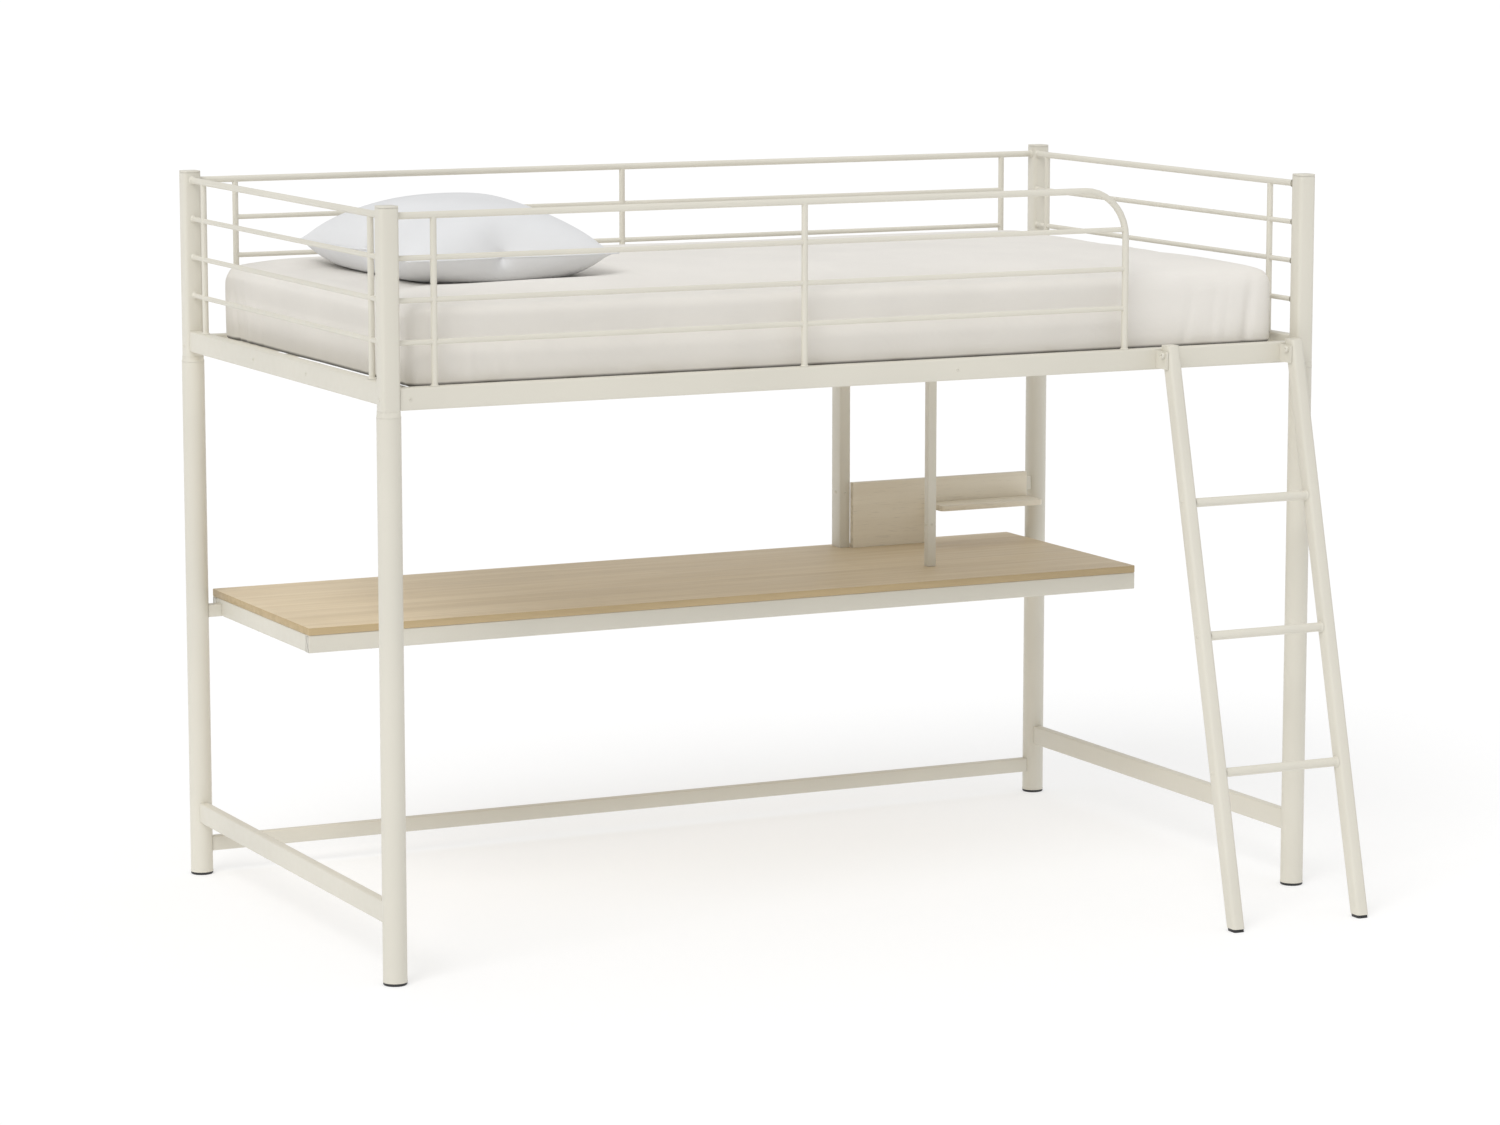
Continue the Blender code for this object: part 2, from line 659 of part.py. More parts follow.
def ladder_direction():
    """Unit vector down the ladder, in (Y, Z), that sets the stiles' front lower corner at the reach."""
    out = LADDER_REACH - PIVOT_SETOUT
    drop = PIVOT_Z - LADDER_PAD_HEIGHT
    lean = math.atan2(out, drop) - math.asin(STILE_DEPTH / 2 / math.hypot(out, drop))
    return Vector((-math.sin(lean), -math.cos(lean)))


def on_ladder(height):
    """Y of the ladder's centre line at a height."""
    down = ladder_direction()
    return FRONT_Y - PIVOT_SETOUT + down.x * (PIVOT_Z - height) / -down.y


def leaning_bar(name, x, inset, bottom, top):
    """A bar with the ladder's lean, cut level at both ends, this far inside a stile's faces."""
    depth = (STILE_DEPTH - 2 * inset) / -ladder_direction().y
    outline = rounded_rectangle(STILE_WIDTH - 2 * inset, depth, STILE_CORNER - inset)
    middle = (bottom + top) / 2
    bar = meshed(prism(name, [outline], top - bottom, (x, 0.0, middle)))
    for vertex in bar.data.vertices:
        vertex.co.y += on_ladder(middle + vertex.co.z)
    return bar


def build_ladder():
    """Stiles, rungs and rubber feet, which swing about two bolts through brackets on the rail."""
    pivot_y = FRONT_Y - PIVOT_SETOUT
    axis = bpy.data.objects.new("ladder_axis", None)
    axis.location = (HEAD_X + (LADDER_LEFT + LADDER_RIGHT) / 2, pivot_y, PIVOT_Z)
    PARTS.objects.link(axis)
    pad_top = LADDER_PAD_HEIGHT - GAP
    for side, offset in (("head", LADDER_LEFT), ("foot", LADDER_RIGHT)):
        x = HEAD_X + offset
        name = f"ladder_stile_{side}"
        stile = leaning_bar(name, x, 0.0, LADDER_PAD_HEIGHT, STILE_TOP_Z)
        core_bottom = LADDER_PAD_HEIGHT - STILE_CORE_OVERRUN
        core = leaning_bar(f"{name}_core", x, STILE_WALL, core_bottom, STILE_TOP_Z - STILE_WALL)
        boolean(stile, core, "DIFFERENCE")
        hole_ends = [((x - STILE_WIDTH, pivot_y, PIVOT_Z), (x + STILE_WIDTH, pivot_y, PIVOT_Z))]
        boolean(stile, rods(f"{stile.name}_bolt_hole", hole_ends, BOLT_HOLE_RADIUS, sides=16), "DIFFERENCE")
        keep(stile, IVORY)
        hang(stile, axis)

        pad = leaning_bar(f"ladder_pad_{side}", x, LADDER_PAD_INSET, 0.0, pad_top)
        keep(pad, BLACK)
        hang(pad, axis)
        build_ladder_bracket(side, x, pivot_y)
    reach = STILE_WIDTH / 2 + GAP
    left, right = HEAD_X + LADDER_LEFT + reach, HEAD_X + LADDER_RIGHT - reach
    section = [ring(RUNG_RADIUS, RUNG_SIDES), ring(RUNG_RADIUS - RUNG_WALL, RUNG_SIDES)]
    for number, height in enumerate(RUNG_HEIGHTS, 1):
        y = on_ladder(height)
        ends = (left, y, height), (right, y, height)
        rung = tube_between(f"ladder_rung_{number}", *ends, section, "X")
        keep(rung, IVORY)
        hang(rung, axis)


def build_ladder_bracket(side, stile_x, pivot_y):
    """A plate on the rail's face beside the stile, and the bolt that the stile turns on."""
    plate_right = stile_x - STILE_WIDTH / 2 - BRACKET_CLEARANCE
    plate_left = plate_right - BRACKET_THICKNESS
    face = FRONT_Y - RAIL_WIDTH / 2 - GAP
    low_z = SIDE_RAIL_TOP_Z - RAIL_HEIGHT + BRACKET_MARGIN_Z
    high_z = SIDE_RAIL_TOP_Z - BRACKET_MARGIN_Z
    plate = (plate_left, face - BRACKET_REACH, low_z), (plate_right, face, high_z)
    bracket = blocks(f"ladder_bracket_{side}", [plate])
    hole_ends = [((plate_left - HOLE_OVERRUN, pivot_y, PIVOT_Z), (stile_x, pivot_y, PIVOT_Z))]
    boolean(bracket, rods(f"{bracket.name}_hole", hole_ends, BOLT_HOLE_RADIUS, sides=16), "DIFFERENCE")
    keep(bracket, IVORY)

    head_right = plate_left - GAP
    head_left = head_right - BOLT_HEAD_HEIGHT
    head = (head_left, pivot_y, PIVOT_Z), (head_right, pivot_y, PIVOT_Z)
    bolt = rods(f"ladder_bolt_{side}", [head], BOLT_HEAD_RADIUS, sides=BOLT_SIDES)
    shank_end = stile_x + STILE_WIDTH / 2 + BOLT_OVERHANG
    shank = (head_left + SHANK_LAP, pivot_y, PIVOT_Z), (shank_end, pivot_y, PIVOT_Z)
    boolean(bolt, rods(f"{bolt.name}_shank", [shank], BOLT_RADIUS, sides=16), "UNION")
    keep(bolt, IVORY)


def hang(obj, axis):
    """Parent a sub-part to the empty on its joint's axis, without moving it."""
    obj.location = Vector(obj.location) - axis.location
    obj.parent = axis


def build_bedding():
    bottom = SLAT_TOP_Z + GAP
    length, width, thickness = MATTRESS_SIZE
    centre = (0.0, (FRONT_Y + BACK_Y) / 2, bottom + thickness / 2)
    keep(soft_block("mattress", MATTRESS_SIZE, MATTRESS_ROUNDING, centre), SHEET)
    pillow_z = bottom + thickness + GAP + PILLOW_SIZE[2] / 2
    centre = (HEAD_X + PILLOW_X, FRONT_Y + PILLOW_Y, pillow_z)
    keep(soft_block("pillow", PILLOW_SIZE, PILLOW_ROUNDING, centre), PILLOWCASE)


def shade_round_pieces():
    for obj in PARTS.objects:
        if obj.type == "MESH" and obj.name not in ("slat_base", "panel_bracket"):
            obj.data.shade_smooth()
            obj.data.set_sharp_from_angle(angle=math.radians(35))


clear_scene()
PARTS = new_collection("loft_bed_with_desk")
CUTTERS = new_collection("construction")
build_posts()
build_rails()
build_stretchers()
build_slat_base()
build_guards()
build_desk()
build_hangers()
build_hutch()
build_ladder()
build_bedding()
shade_round_pieces()
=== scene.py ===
"""Looks for the metal loft bed with a desk: finishes, bedding, fixings, floor, light and camera.

Metres, +Z up, +X from the head end to the foot end, -Y the ladder side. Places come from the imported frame.
"""

import json
import math

import bmesh
import bpy
import numpy as np
from mathutils import Matrix, Vector, noise


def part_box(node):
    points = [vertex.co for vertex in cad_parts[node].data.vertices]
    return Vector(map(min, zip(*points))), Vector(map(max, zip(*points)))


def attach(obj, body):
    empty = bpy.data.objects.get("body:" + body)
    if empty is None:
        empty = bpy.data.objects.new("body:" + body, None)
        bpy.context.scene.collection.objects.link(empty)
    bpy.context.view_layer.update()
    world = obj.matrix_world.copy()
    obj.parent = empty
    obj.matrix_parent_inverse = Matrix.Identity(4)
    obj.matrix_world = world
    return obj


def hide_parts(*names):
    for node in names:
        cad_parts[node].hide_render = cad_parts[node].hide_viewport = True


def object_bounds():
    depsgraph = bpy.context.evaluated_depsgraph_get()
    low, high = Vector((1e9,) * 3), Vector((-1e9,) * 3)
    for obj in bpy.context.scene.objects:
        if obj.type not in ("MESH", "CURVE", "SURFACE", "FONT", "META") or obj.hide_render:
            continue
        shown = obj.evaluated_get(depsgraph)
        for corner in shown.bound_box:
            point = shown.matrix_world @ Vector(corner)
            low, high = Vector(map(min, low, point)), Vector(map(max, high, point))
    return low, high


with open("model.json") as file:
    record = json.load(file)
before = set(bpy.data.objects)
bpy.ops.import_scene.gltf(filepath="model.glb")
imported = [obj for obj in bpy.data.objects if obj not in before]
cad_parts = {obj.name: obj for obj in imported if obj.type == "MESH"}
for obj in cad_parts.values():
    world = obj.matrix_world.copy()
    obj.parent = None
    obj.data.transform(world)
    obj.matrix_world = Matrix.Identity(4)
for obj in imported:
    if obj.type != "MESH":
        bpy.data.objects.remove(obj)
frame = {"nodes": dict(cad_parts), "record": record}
CAD_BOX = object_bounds()
NODES = frame["nodes"]

# Camera
CAMERA_OFFSET = (-3.087, -7.8055, 2.0463)  # from the foot of the head end's front post
CAMERA_PITCH = 81.42  # degrees up from straight down
CAMERA_YAW = -26.03
CAMERA_LENS = 112.1

# Light
HORIZON_LIGHT = 0.38
ZENITH_LIGHT = 0.95
BACKDROP = 1.0  # how bright the far backdrop looks, whatever light it gives
KEY_LIGHT = 1.08
KEY_SOFTNESS = 30.0  # degrees across
KEY_TILT = (45.0, 0.0, -52.0)  # degrees, a lamp high on the left, in front
FLOOR_SIZE = 400.0
FLOOR_COLOUR = (0.50, 0.50, 0.50)
FLOOR_GLOW = 0.52  # the floor is a lit white sweep

# Paint, wood, cloth and fixing colours, linear
IVORY = (0.731, 0.701, 0.612)
OAK_LIGHT = (0.810, 0.680, 0.480)
OAK_DARK = (0.655, 0.530, 0.355)
OAK_EDGE = (0.560, 0.425, 0.235)
GREIGE_LIGHT = (0.880, 0.820, 0.690)
GREIGE_DARK = (0.780, 0.710, 0.580)
BLACK = (0.022, 0.022, 0.023)
DUST = (0.100, 0.097, 0.090)
STEEL = (0.560, 0.550, 0.530)
SHEET = (0.835, 0.805, 0.755)
PILLOWCASE = (0.765, 0.770, 0.780)

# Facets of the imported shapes
WELD_DISTANCE = 0.00002
SHARP_EDGE = 32.0  # degrees; a steeper edge than this is not smoothed

# Wood
STAVE = (0.62, 0.092)  # a stave's length and width

# Cloth, as it is filled: quality steps, mass, and stiffness to stretch and to shear
CLOTH_QUALITY = 5
CLOTH_MASS = 0.25
CLOTH_STRETCH = 12.0
CLOTH_SHEAR = 6.0

# Bedding
SHEET_PRESSURE = 4.0
SHEET_BENDING = 0.2
SHEET_FRAMES = 20
SHEET_VOXEL = 0.013
SHEET_ROOM = 0.006  # the sheet's blank is this much smaller than the mattress all round
SHEET_SWELL = 0.016
SHEET_CROWN = 0.014
SHEET_RIPPLE = 0.0016
SHEET_CORNER = 0.026  # upright corners
SHEET_TOP_EDGE = 0.026
SHEET_BOTTOM_EDGE = 0.008
SHEET_BULGE = ((-0.014, -0.004), (0.007, 0.007))  # beyond the mattress's box: head, foot, front, back
SHEET_SETTLING = 0.025  # height over which the mattress's weight squares its lower edge
DENT_DEPTH = 0.006
DENT_MARGIN = 0.05  # the pillow's dent reaches this far round it
SHEET_BOUND = 0.010  # how far the cloth may stand proud of the mattress's box
GAP_SHADE_HEIGHTS = (0.0045, 0.0105)  # above the slats: painted shade of the gap between mattress and rail, full where the cloth tucks under and gone where it is clear of it
# The sheet's colour is scaled by this where its painted gap shade is full
GAP_SHADE_TINT = 0.18
SIDE_CLOTH = (0.040, 0.025)  # gathers start this far inside the edge, and grow over this length
GATHER_REACH = (0.04, 0.22)  # puckers are full this near a corner, and fade over this length
SLACK_DEPTH = 0.0022
PUCKER_DEPTH = 0.0055
TUCKS = ((0.052, 0.0055), (0.118, -0.0028), (0.190, 0.0022))  # distance from the corner, and depth
TUCK_WIDTH = 0.016
TUCK_SWAY = 0.007
TUCK_LEAN = 0.02  # how much further from the corner a tuck is at its foot
PILLOW_PRESSURE = 8.0
PILLOW_BENDING = 0.3
PILLOW_FRAMES = 40
PILLOW_CELL = 0.0105
PILLOW_BLANK_BULGE = 0.22  # of the pillow's height, above and below the blank's middle
PILLOW_BLANK_WOBBLE = 0.006
PILLOW_SWELL = 0.200
PILLOW_SMOOTHING = 24
PILLOW_SPREAD = 0.013  # the case's rim, beyond the pillow's box
PILLOW_EASE = 0.15  # how far the middle of each side is let out again after the filling pulls it in
PILLOW_CUT = 1.06  # the flat cloth, over the filled pillow
PILLOW_SAG = 1.18  # exponent that brings the filling down towards the mattress
PILLOW_PRESS = 1.22  # how much thicker the pillow would be if it were not pressed on the mattress
PILLOW_SINK = 0.010  # depth over which the underside settles flat
PILLOW_GAP = 0.001  # between the pillow and the mattress
PIPING_RADIUS = 0.0016
PIPING_SIDES = 8

# Fixings and joints
BOLT_SIDES = 24
SOCKET_SHARE = 0.42  # the hex socket's half width, as a share of the head's radius
SCREW = (0.0034, 0.0012)  # head radius and height
BOLT = (0.0062, 0.0030)
SIDE_RAIL_SCREWS = (0.010, 0.60, 0.990)  # along the rail, as shares of its length
END_RAIL_SCREWS = (0.36, 0.64)
HANGER_SCREWS = (("hanger_back", 0.022), ("hanger_front", 0.052))  # how far below the panel's top
BOARD_SCREWS = 7  # along each of the desk's rails
SHELF_SCREWS = (0.15, 0.85)
SHELF_SCREW_INSET = 0.012  # from the shelf's back edge
BAR_FACE = 0.0005  # a bar's end lies this near its node's outer face
BAR_SPACING = 0.020  # no two bars of a guard end this close to each other
BEAD_WIDTH = 0.0026  # a weld bead's reach beyond the bar it goes round
BEAD_PROFILE = ((1.0, 0.0), (0.88, 0.30), (0.46, 0.62), (0.12, 1.0), (-0.15, 1.15))  # reach, rise
BEAD_RAGGED = 0.30
BEAD_SIDES = 18
TUBE_CORNER = 0.002
TUBE_CAP_PROFILE = ((0.0004, -0.0006), (0.0004, 0.0004), (0.0010, 0.0009), (0.0030, 0.0010))  # inset, rise
SHOULDER_SIDES = 48
SHOULDER_RINGS = 7
SHOULDER_CORNER = 0.007  # radius of the square post's corners
SHOULDER_LAP = 0.0020  # down over the round post
SHOULDER_GAP = 0.0008  # below the side rail
SHOULDER_LIP = 0.0012  # turned in at both ends
SKIN = 0.0003  # a sleeve or lip stands this far off the tube under it
LIP_RISE = 0.001
LIP_PROFILE = ((-0.4, 0.1), (1.4, 0.0), (2.0, 0.8), (1.6, 2.0), (0.0, 2.8), (-0.4, 2.8))  # skins, rises


# Materials


class Finish:
    """One procedural material. Inputs take either a plain value or another node's output."""

    def __init__(self, name, colour, roughness, metallic=0.0):
        self.material = bpy.data.materials.new(name)
        self.material.use_nodes = True
        self.tree = self.material.node_tree
        self.shader = self.tree.nodes["Principled BSDF"]
        self.feed(self.shader.inputs["Base Color"], (*colour, 1.0))
        self.feed(self.shader.inputs["Roughness"], roughness)
        self.feed(self.shader.inputs["Metallic"], metallic)
        self.place = self.node("ShaderNodeTexCoord").outputs["Object"]

    def node(self, kind, inputs=None, **settings):
        made = self.tree.nodes.new(kind)
        for key, value in settings.items():
            setattr(made, key, value)
        for key, value in (inputs or {}).items():
            self.feed(made.inputs[key], value)
        return made

    def feed(self, socket, value):
        if isinstance(value, bpy.types.NodeSocket):
            self.tree.links.new(value, socket)
        else:
            socket.default_value = value

    def scaled(self, scale):
        """Object coordinates, stretched by a factor along each axis."""
        mapping = self.node("ShaderNodeMapping", {"Vector": self.place, "Scale": scale})
        return mapping.outputs["Vector"]

    def noise(self, scale, detail=3.0, roughness=0.5, vector=None, distortion=0.0):
        inputs = {
            "Vector": vector or self.place,
            "Scale": scale,
            "Detail": detail,
            "Roughness": roughness,
            "Distortion": distortion,
        }
        return self.node("ShaderNodeTexNoise", inputs).outputs["Fac"]

    def wave(self, scale, direction, vector=None, distortion=0.0, detail_scale=1.0):
        inputs = {
            "Vector": vector or self.place,
            "Scale": scale,
            "Distortion": distortion,
            "Detail": 2.0,
            "Detail Scale": detail_scale,
        }
        made = self.node("ShaderNodeTexWave", inputs, bands_direction=direction)
        return made.outputs["Fac"]

    def span(self, value, low, high, to_low=0.0, to_high=1.0):
        """A value's range low to high, mapped on to_low to to_high and held there."""
        inputs = {
            "Value": value,
            "From Min": low,
            "From Max": high,
            "To Min": to_low,
            "To Max": to_high,
        }
        return self.node("ShaderNodeMapRange", inputs, interpolation_type="SMOOTHSTEP").outputs[0]

    def maths(self, operation, first, second=0.0):
        made = self.node("ShaderNodeMath", operation=operation)
        self.feed(made.inputs[0], first)
        self.feed(made.inputs[1], second)
        return made.outputs[0]

    def blend(self, factor, first, second):
        """Two colours mixed by a factor."""
        made = self.node("ShaderNodeMix", data_type="RGBA")
        self.feed(made.inputs[0], factor)
        for socket, value in ((made.inputs[6], first), (made.inputs[7], second)):
            self.feed(socket, value if isinstance(value, bpy.types.NodeSocket) else (*value, 1.0))
        return made.outputs[2]

    def bump(self, height, strength, distance, under=None):
        inputs = {"Height": height, "Strength": strength, "Distance": distance}
        if under is not None:
            inputs["Normal"] = under
        return self.node("ShaderNodeBump", inputs).outputs["Normal"]

    def set(self, **sockets):
        for key, value in sockets.items():
            self.feed(self.shader.inputs[key.replace("_", " ")], value)
        return self.material


def tinted(colour, factor):
    return tuple(min(channel * factor, 1.0) for channel in colour)


def powder_coat(name, colour):
    """Sprayed satin paint: a faint cloudiness, an orange-peel skin and a few rubbed spots."""
    finish = Finish(name, colour, 0.42)
    clouds = finish.noise(2.6, 3.0)
    body = finish.blend(finish.span(clouds, 0.3, 0.7), tinted(colour, 0.965), tinted(colour, 1.02))
    rubbed = finish.span(finish.noise(34.0, 6.0, 0.62, distortion=0.8), 0.66, 0.78)
    body = finish.blend(finish.maths("MULTIPLY", rubbed, 0.35), body, tinted(colour, 0.90))
    gloss = finish.span(finish.noise(55.0, 2.0), 0.35, 0.65, 0.36, 0.47)
    skin = finish.bump(finish.noise(620.0, 2.0, 0.55), 0.16, 0.0004)
    grit = finish.bump(finish.noise(2400.0, 1.0), 0.06, 0.0001, skin)
    return finish.set(Base_Color=body, Roughness=gloss, Normal=grit)


def oak(name, light, dark, edge, seed):
    """Oak foil on board: staves, long grain, cathedral arches, pores, and a banded edge."""
    finish = Finish(name, light, 0.5)
    shifted = finish.node("ShaderNodeMapping", {"Vector": finish.place, "Location": (seed, seed, seed)})
    finish.place = shifted.outputs["Vector"]
    staves = finish.node(
        "ShaderNodeTexBrick",
        {
            "Vector": finish.place,
            "Color1": (0.0, 0.0, 0.0, 1.0),
            "Color2": (1.0, 1.0, 1.0, 1.0),
            "Scale": 1.0,
            "Mortar Size": 0.0,
            "Bias": 0.0,
            "Brick Width": STAVE[0],
            "Row Height": STAVE[1],
        },
        offset=0.37,
        offset_frequency=2,
    ).outputs["Color"]
    patches = finish.span(finish.noise(1.0, 3.0, 0.5, finish.scaled((1.7, 9.0, 9.0))), 0.34, 0.68)
    streaks = finish.span(finish.noise(1.0, 6.0, 0.62, finish.scaled((2.6, 60.0, 60.0))), 0.30, 0.72)
    arches = finish.wave(1.0, "Y", finish.scaled((0.45, 4.6, 4.6)), 5.5, 1.4)
    pores = finish.span(finish.noise(1.0, 2.0, 0.5, finish.scaled((26.0, 520.0, 520.0))), 0.60, 0.74)
    grain = finish.maths("MULTIPLY", staves, 0.26)
    for layer, share in ((patches, 0.30), (streaks, 0.34), (arches, 0.14)):
        grain = finish.maths("ADD", grain, finish.maths("MULTIPLY", layer, share))
    face = finish.blend(grain, dark, light)
    face = finish.blend(finish.maths("MULTIPLY", pores, 0.30), face, tinted(dark, 0.62))
    normal = finish.node("ShaderNodeTexCoord").outputs["Normal"]
    up = finish.node("ShaderNodeSeparateXYZ", {"Vector": normal}).outputs["Z" if edge else "Y"]
    flat = finish.span(finish.maths("ABSOLUTE", up), 0.4, 0.8)
    band = finish.blend(streaks, tinted(edge or dark, 0.86), edge or light)
    colour = finish.blend(flat, band, face)
    gloss = finish.span(streaks, 0.0, 1.0, 0.52, 0.42)
    fine = finish.bump(pores, -0.20, 0.0003)
    ridges = finish.bump(streaks, 0.10, 0.0004, fine)
    return finish.set(Base_Color=colour, Roughness=gloss, Normal=ridges)


def woven(name, colour, thread, softness, gap_shade=None):
    """Plain-weave cotton: threads each way, slubs, mottling, a little sheen, and maybe painted shade along
    its bottom edge.
    """
    finish = Finish(name, colour, 0.86)
    pitch = 0.3142 / thread
    warp = finish.wave(pitch, "X", distortion=0.25, detail_scale=4.0)
    weft = finish.wave(pitch, "Y", distortion=0.25, detail_scale=4.0)
    rise = finish.wave(pitch, "Z", distortion=0.25, detail_scale=4.0)
    weave = finish.maths("ADD", warp, finish.maths("ADD", weft, rise))
    slubs = finish.span(finish.noise(1.0, 3.0, 0.6, finish.scaled((18.0, 420.0, 420.0))), 0.55, 0.75)
    mottle = finish.span(finish.noise(5.0, 4.0), 0.3, 0.7)
    body = finish.blend(mottle, tinted(colour, 0.975), tinted(colour, 1.015))
    body = finish.blend(finish.maths("MULTIPLY", slubs, 0.06), body, tinted(colour, 0.86))
    # Painted shade: darker near the bottom, where the gap between mattress and rail lies in shade; the
    # underside keeps its own colour
    if gap_shade is not None:
        z = finish.node("ShaderNodeSeparateXYZ", {"Vector": finish.place}).outputs["Z"]
        normal = finish.node("ShaderNodeTexCoord").outputs["Normal"]
        rise = finish.node("ShaderNodeSeparateXYZ", {"Vector": normal}).outputs["Z"]
        unshaded = finish.maths("MAXIMUM", finish.span(z, *gap_shade), finish.span(rise, -0.94, -0.99))
        body = finish.blend(unshaded, tinted(colour, GAP_SHADE_TINT), body)
    crumple = finish.noise(1.0, 4.0, 0.55, finish.scaled((7.0, 9.0, 12.0)), distortion=0.6)
    folds = finish.bump(crumple, softness, 0.010)
    threads = finish.bump(weave, 0.22, 0.00022, folds)
    finish.set(Sheen_Weight=0.22, Sheen_Roughness=0.45, Specular_IOR_Level=0.28)
    return finish.set(Base_Color=body, Roughness=finish.span(slubs, 0.0, 1.0, 0.84, 0.92), Normal=threads)


def moulded_plastic(name, colour):
    """Dark plastic with a fine moulded texture and a little dust."""
    finish = Finish(name, colour, 0.5)
    dust = finish.span(finish.noise(60.0, 4.0), 0.5, 0.8)
    body = finish.blend(finish.maths("MULTIPLY", dust, 0.25), colour, DUST)
    texture = finish.bump(finish.noise(900.0, 2.0), 0.25, 0.0003)
    return finish.set(Base_Color=body, Roughness=finish.span(dust, 0.0, 1.0, 0.45, 0.62), Normal=texture)


def zinc_plate(name, colour):
    """Plated steel with faint spangles and fine turning marks round its upright axis."""
    finish = Finish(name, colour, 0.34, 1.0)
    spangle = finish.span(finish.noise(160.0, 3.0), 0.35, 0.65)
    body = finish.blend(spangle, tinted(colour, 0.88), tinted(colour, 1.06))
    brushed = finish.bump(finish.noise(1.0, 3.0, 0.6, finish.scaled((90.0, 90.0, 1400.0))), 0.12, 0.0002)
    return finish.set(Base_Color=body, Roughness=finish.span(spangle, 0.0, 1.0, 0.28, 0.40), Normal=brushed)


# Heights of the sheet's painted shade, where the gap between mattress and rail is dark
SHEET_GAP_SHADE = [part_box("mattress")[0].z + height for height in GAP_SHADE_HEIGHTS]
FINISHES = {
    "ivory_paint": powder_coat("ivory_paint", IVORY),
    "pale_oak": oak("pale_oak", OAK_LIGHT, OAK_DARK, OAK_EDGE, 0.0),
    "greige_oak": oak("greige_oak", GREIGE_LIGHT, GREIGE_DARK, None, 3.7),
    "black_plastic": moulded_plastic("black_plastic", BLACK),
    "zinc_steel": zinc_plate("zinc_steel", STEEL),
    "cream_sheet": woven("cream_sheet", SHEET, 0.0009, 0.30, SHEET_GAP_SHADE),
    "white_pillowcase": woven("white_pillowcase", PILLOWCASE, 0.0008, 0.22),
}


def dress_nodes():
    """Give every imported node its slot's finish, and smooth shading on its round faces."""
    for part in frame["record"]["subparts"]:
        node = NODES[part["node"]]
        node.data.materials.clear()
        node.data.materials.append(FINISHES[part["material_slot"]])
        smooth_round_faces(node)


def smooth_round_faces(node):
    weld = node.modifiers.new("weld", "WELD")
    weld.merge_threshold = WELD_DISTANCE
    if "custom_normal" in node.data.attributes:
        node.data.attributes.remove(node.data.attributes["custom_normal"])
    node.data.polygons.foreach_set("use_smooth", [True] * len(node.data.polygons))
    split = node.modifiers.new("sharp_edges", "EDGE_SPLIT")
    split.split_angle = math.radians(SHARP_EDGE)
    split.use_edge_sharp = False


# Pieces


def piece(name, mesh, body, slot):
    """A new visible piece, in place, riding on a body, with its slot's finish."""
    obj = bpy.data.objects.new(name, mesh)
    bpy.context.scene.collection.objects.link(obj)
    obj.data.materials.append(FINISHES[slot])
    obj.data.polygons.foreach_set("use_smooth", [True] * len(obj.data.polygons))
    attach(obj, body)
    return obj


def mesh_from(name, bm):
    mesh = bpy.data.meshes.new(name)
    bm.to_mesh(mesh)
    bm.free()
    return mesh


def coordinates(mesh):
    places = np.empty(len(mesh.vertices) * 3)
    mesh.vertices.foreach_get("co", places)
    return places.reshape(-1, 3)


def set_coordinates(mesh, places):
    mesh.vertices.foreach_set("co", places.ravel())
    mesh.update()


def stretch(places, axis, low, high):
    """Scale a set of points along one axis to run from low to high."""
    first, last = places[:, axis].min(), places[:, axis].max()
    share = (places[:, axis] - first) / (last - first)
    places[:, axis] = low + share * (high - low)


def evaluated_mesh(obj):
    graph = bpy.context.evaluated_depsgraph_get()
    return bpy.data.meshes.new_from_object(obj.evaluated_get(graph))


def subdivided(mesh, levels=1):
    """The mesh as a subdivision surface, applied."""
    carrier = bpy.data.objects.new("carrier", mesh)
    bpy.context.scene.collection.objects.link(carrier)
    carrier.modifiers.new("rounding", "SUBSURF").levels = levels
    result = evaluated_mesh(carrier)
    bpy.data.objects.remove(carrier, do_unlink=True)
    return result


def inflate(mesh, pressure, bending, frames, cap):
    """Swell a closed cloth skin by its inner pressure, with no point moving further than the cap."""
    scene = bpy.context.scene
    rest = coordinates(mesh)
    carrier = bpy.data.objects.new("carrier", mesh)
    scene.collection.objects.link(carrier)
    cloth = carrier.modifiers.new("cloth", "CLOTH")
    settings = cloth.settings
    settings.quality = CLOTH_QUALITY
    settings.mass = CLOTH_MASS
    settings.tension_stiffness = CLOTH_STRETCH
    settings.compression_stiffness = CLOTH_STRETCH
    settings.shear_stiffness = CLOTH_SHEAR
    settings.bending_stiffness = bending
    settings.use_pressure = True
    settings.uniform_pressure_force = pressure
    settings.effector_weights.gravity = 0.0
    cloth.point_cache.frame_start = 1
    cloth.point_cache.frame_end = frames
    for step in range(1, frames + 1):
        scene.frame_set(step)
    swollen = coordinates(evaluated_mesh(carrier))
    scene.frame_set(1)
    bpy.data.objects.remove(carrier, do_unlink=True)
    move = swollen - rest
    length = np.linalg.norm(move, axis=1, keepdims=True)
    move *= np.minimum(1.0, cap / np.maximum(length, 1e-9))
    result = mesh.copy()
    set_coordinates(result, rest + move)
    return result


# Bedding


def fitted_sheet():
    """The mattress in its fitted sheet: crowned, swollen between its corners, gathered at them."""
    low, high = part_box("mattress")
    centre = (low + high) / 2
    size = high - low
    room = Vector((SHEET_ROOM, SHEET_ROOM, SHEET_CROWN / 2))
    skin = remeshed(sheet_blank(centre - room.z * Vector((0, 0, 1)), size - 2 * room), SHEET_VOXEL)
    skin = inflate(skin, SHEET_PRESSURE, SHEET_BENDING, SHEET_FRAMES, SHEET_SWELL)
    skin = subdivided(skin)
    places = coordinates(skin)
    for axis in (0, 1):
        before, after = SHEET_BULGE[axis]
        stretch(places, axis, low[axis] - before, high[axis] + after)
    set_coordinates(skin, places)
    shape_gathers(skin, centre, size)
    crown(skin, centre, size, low.z)
    obj = piece("fitted_sheet_mattress", skin, "mattress", "cream_sheet")
    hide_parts("mattress")


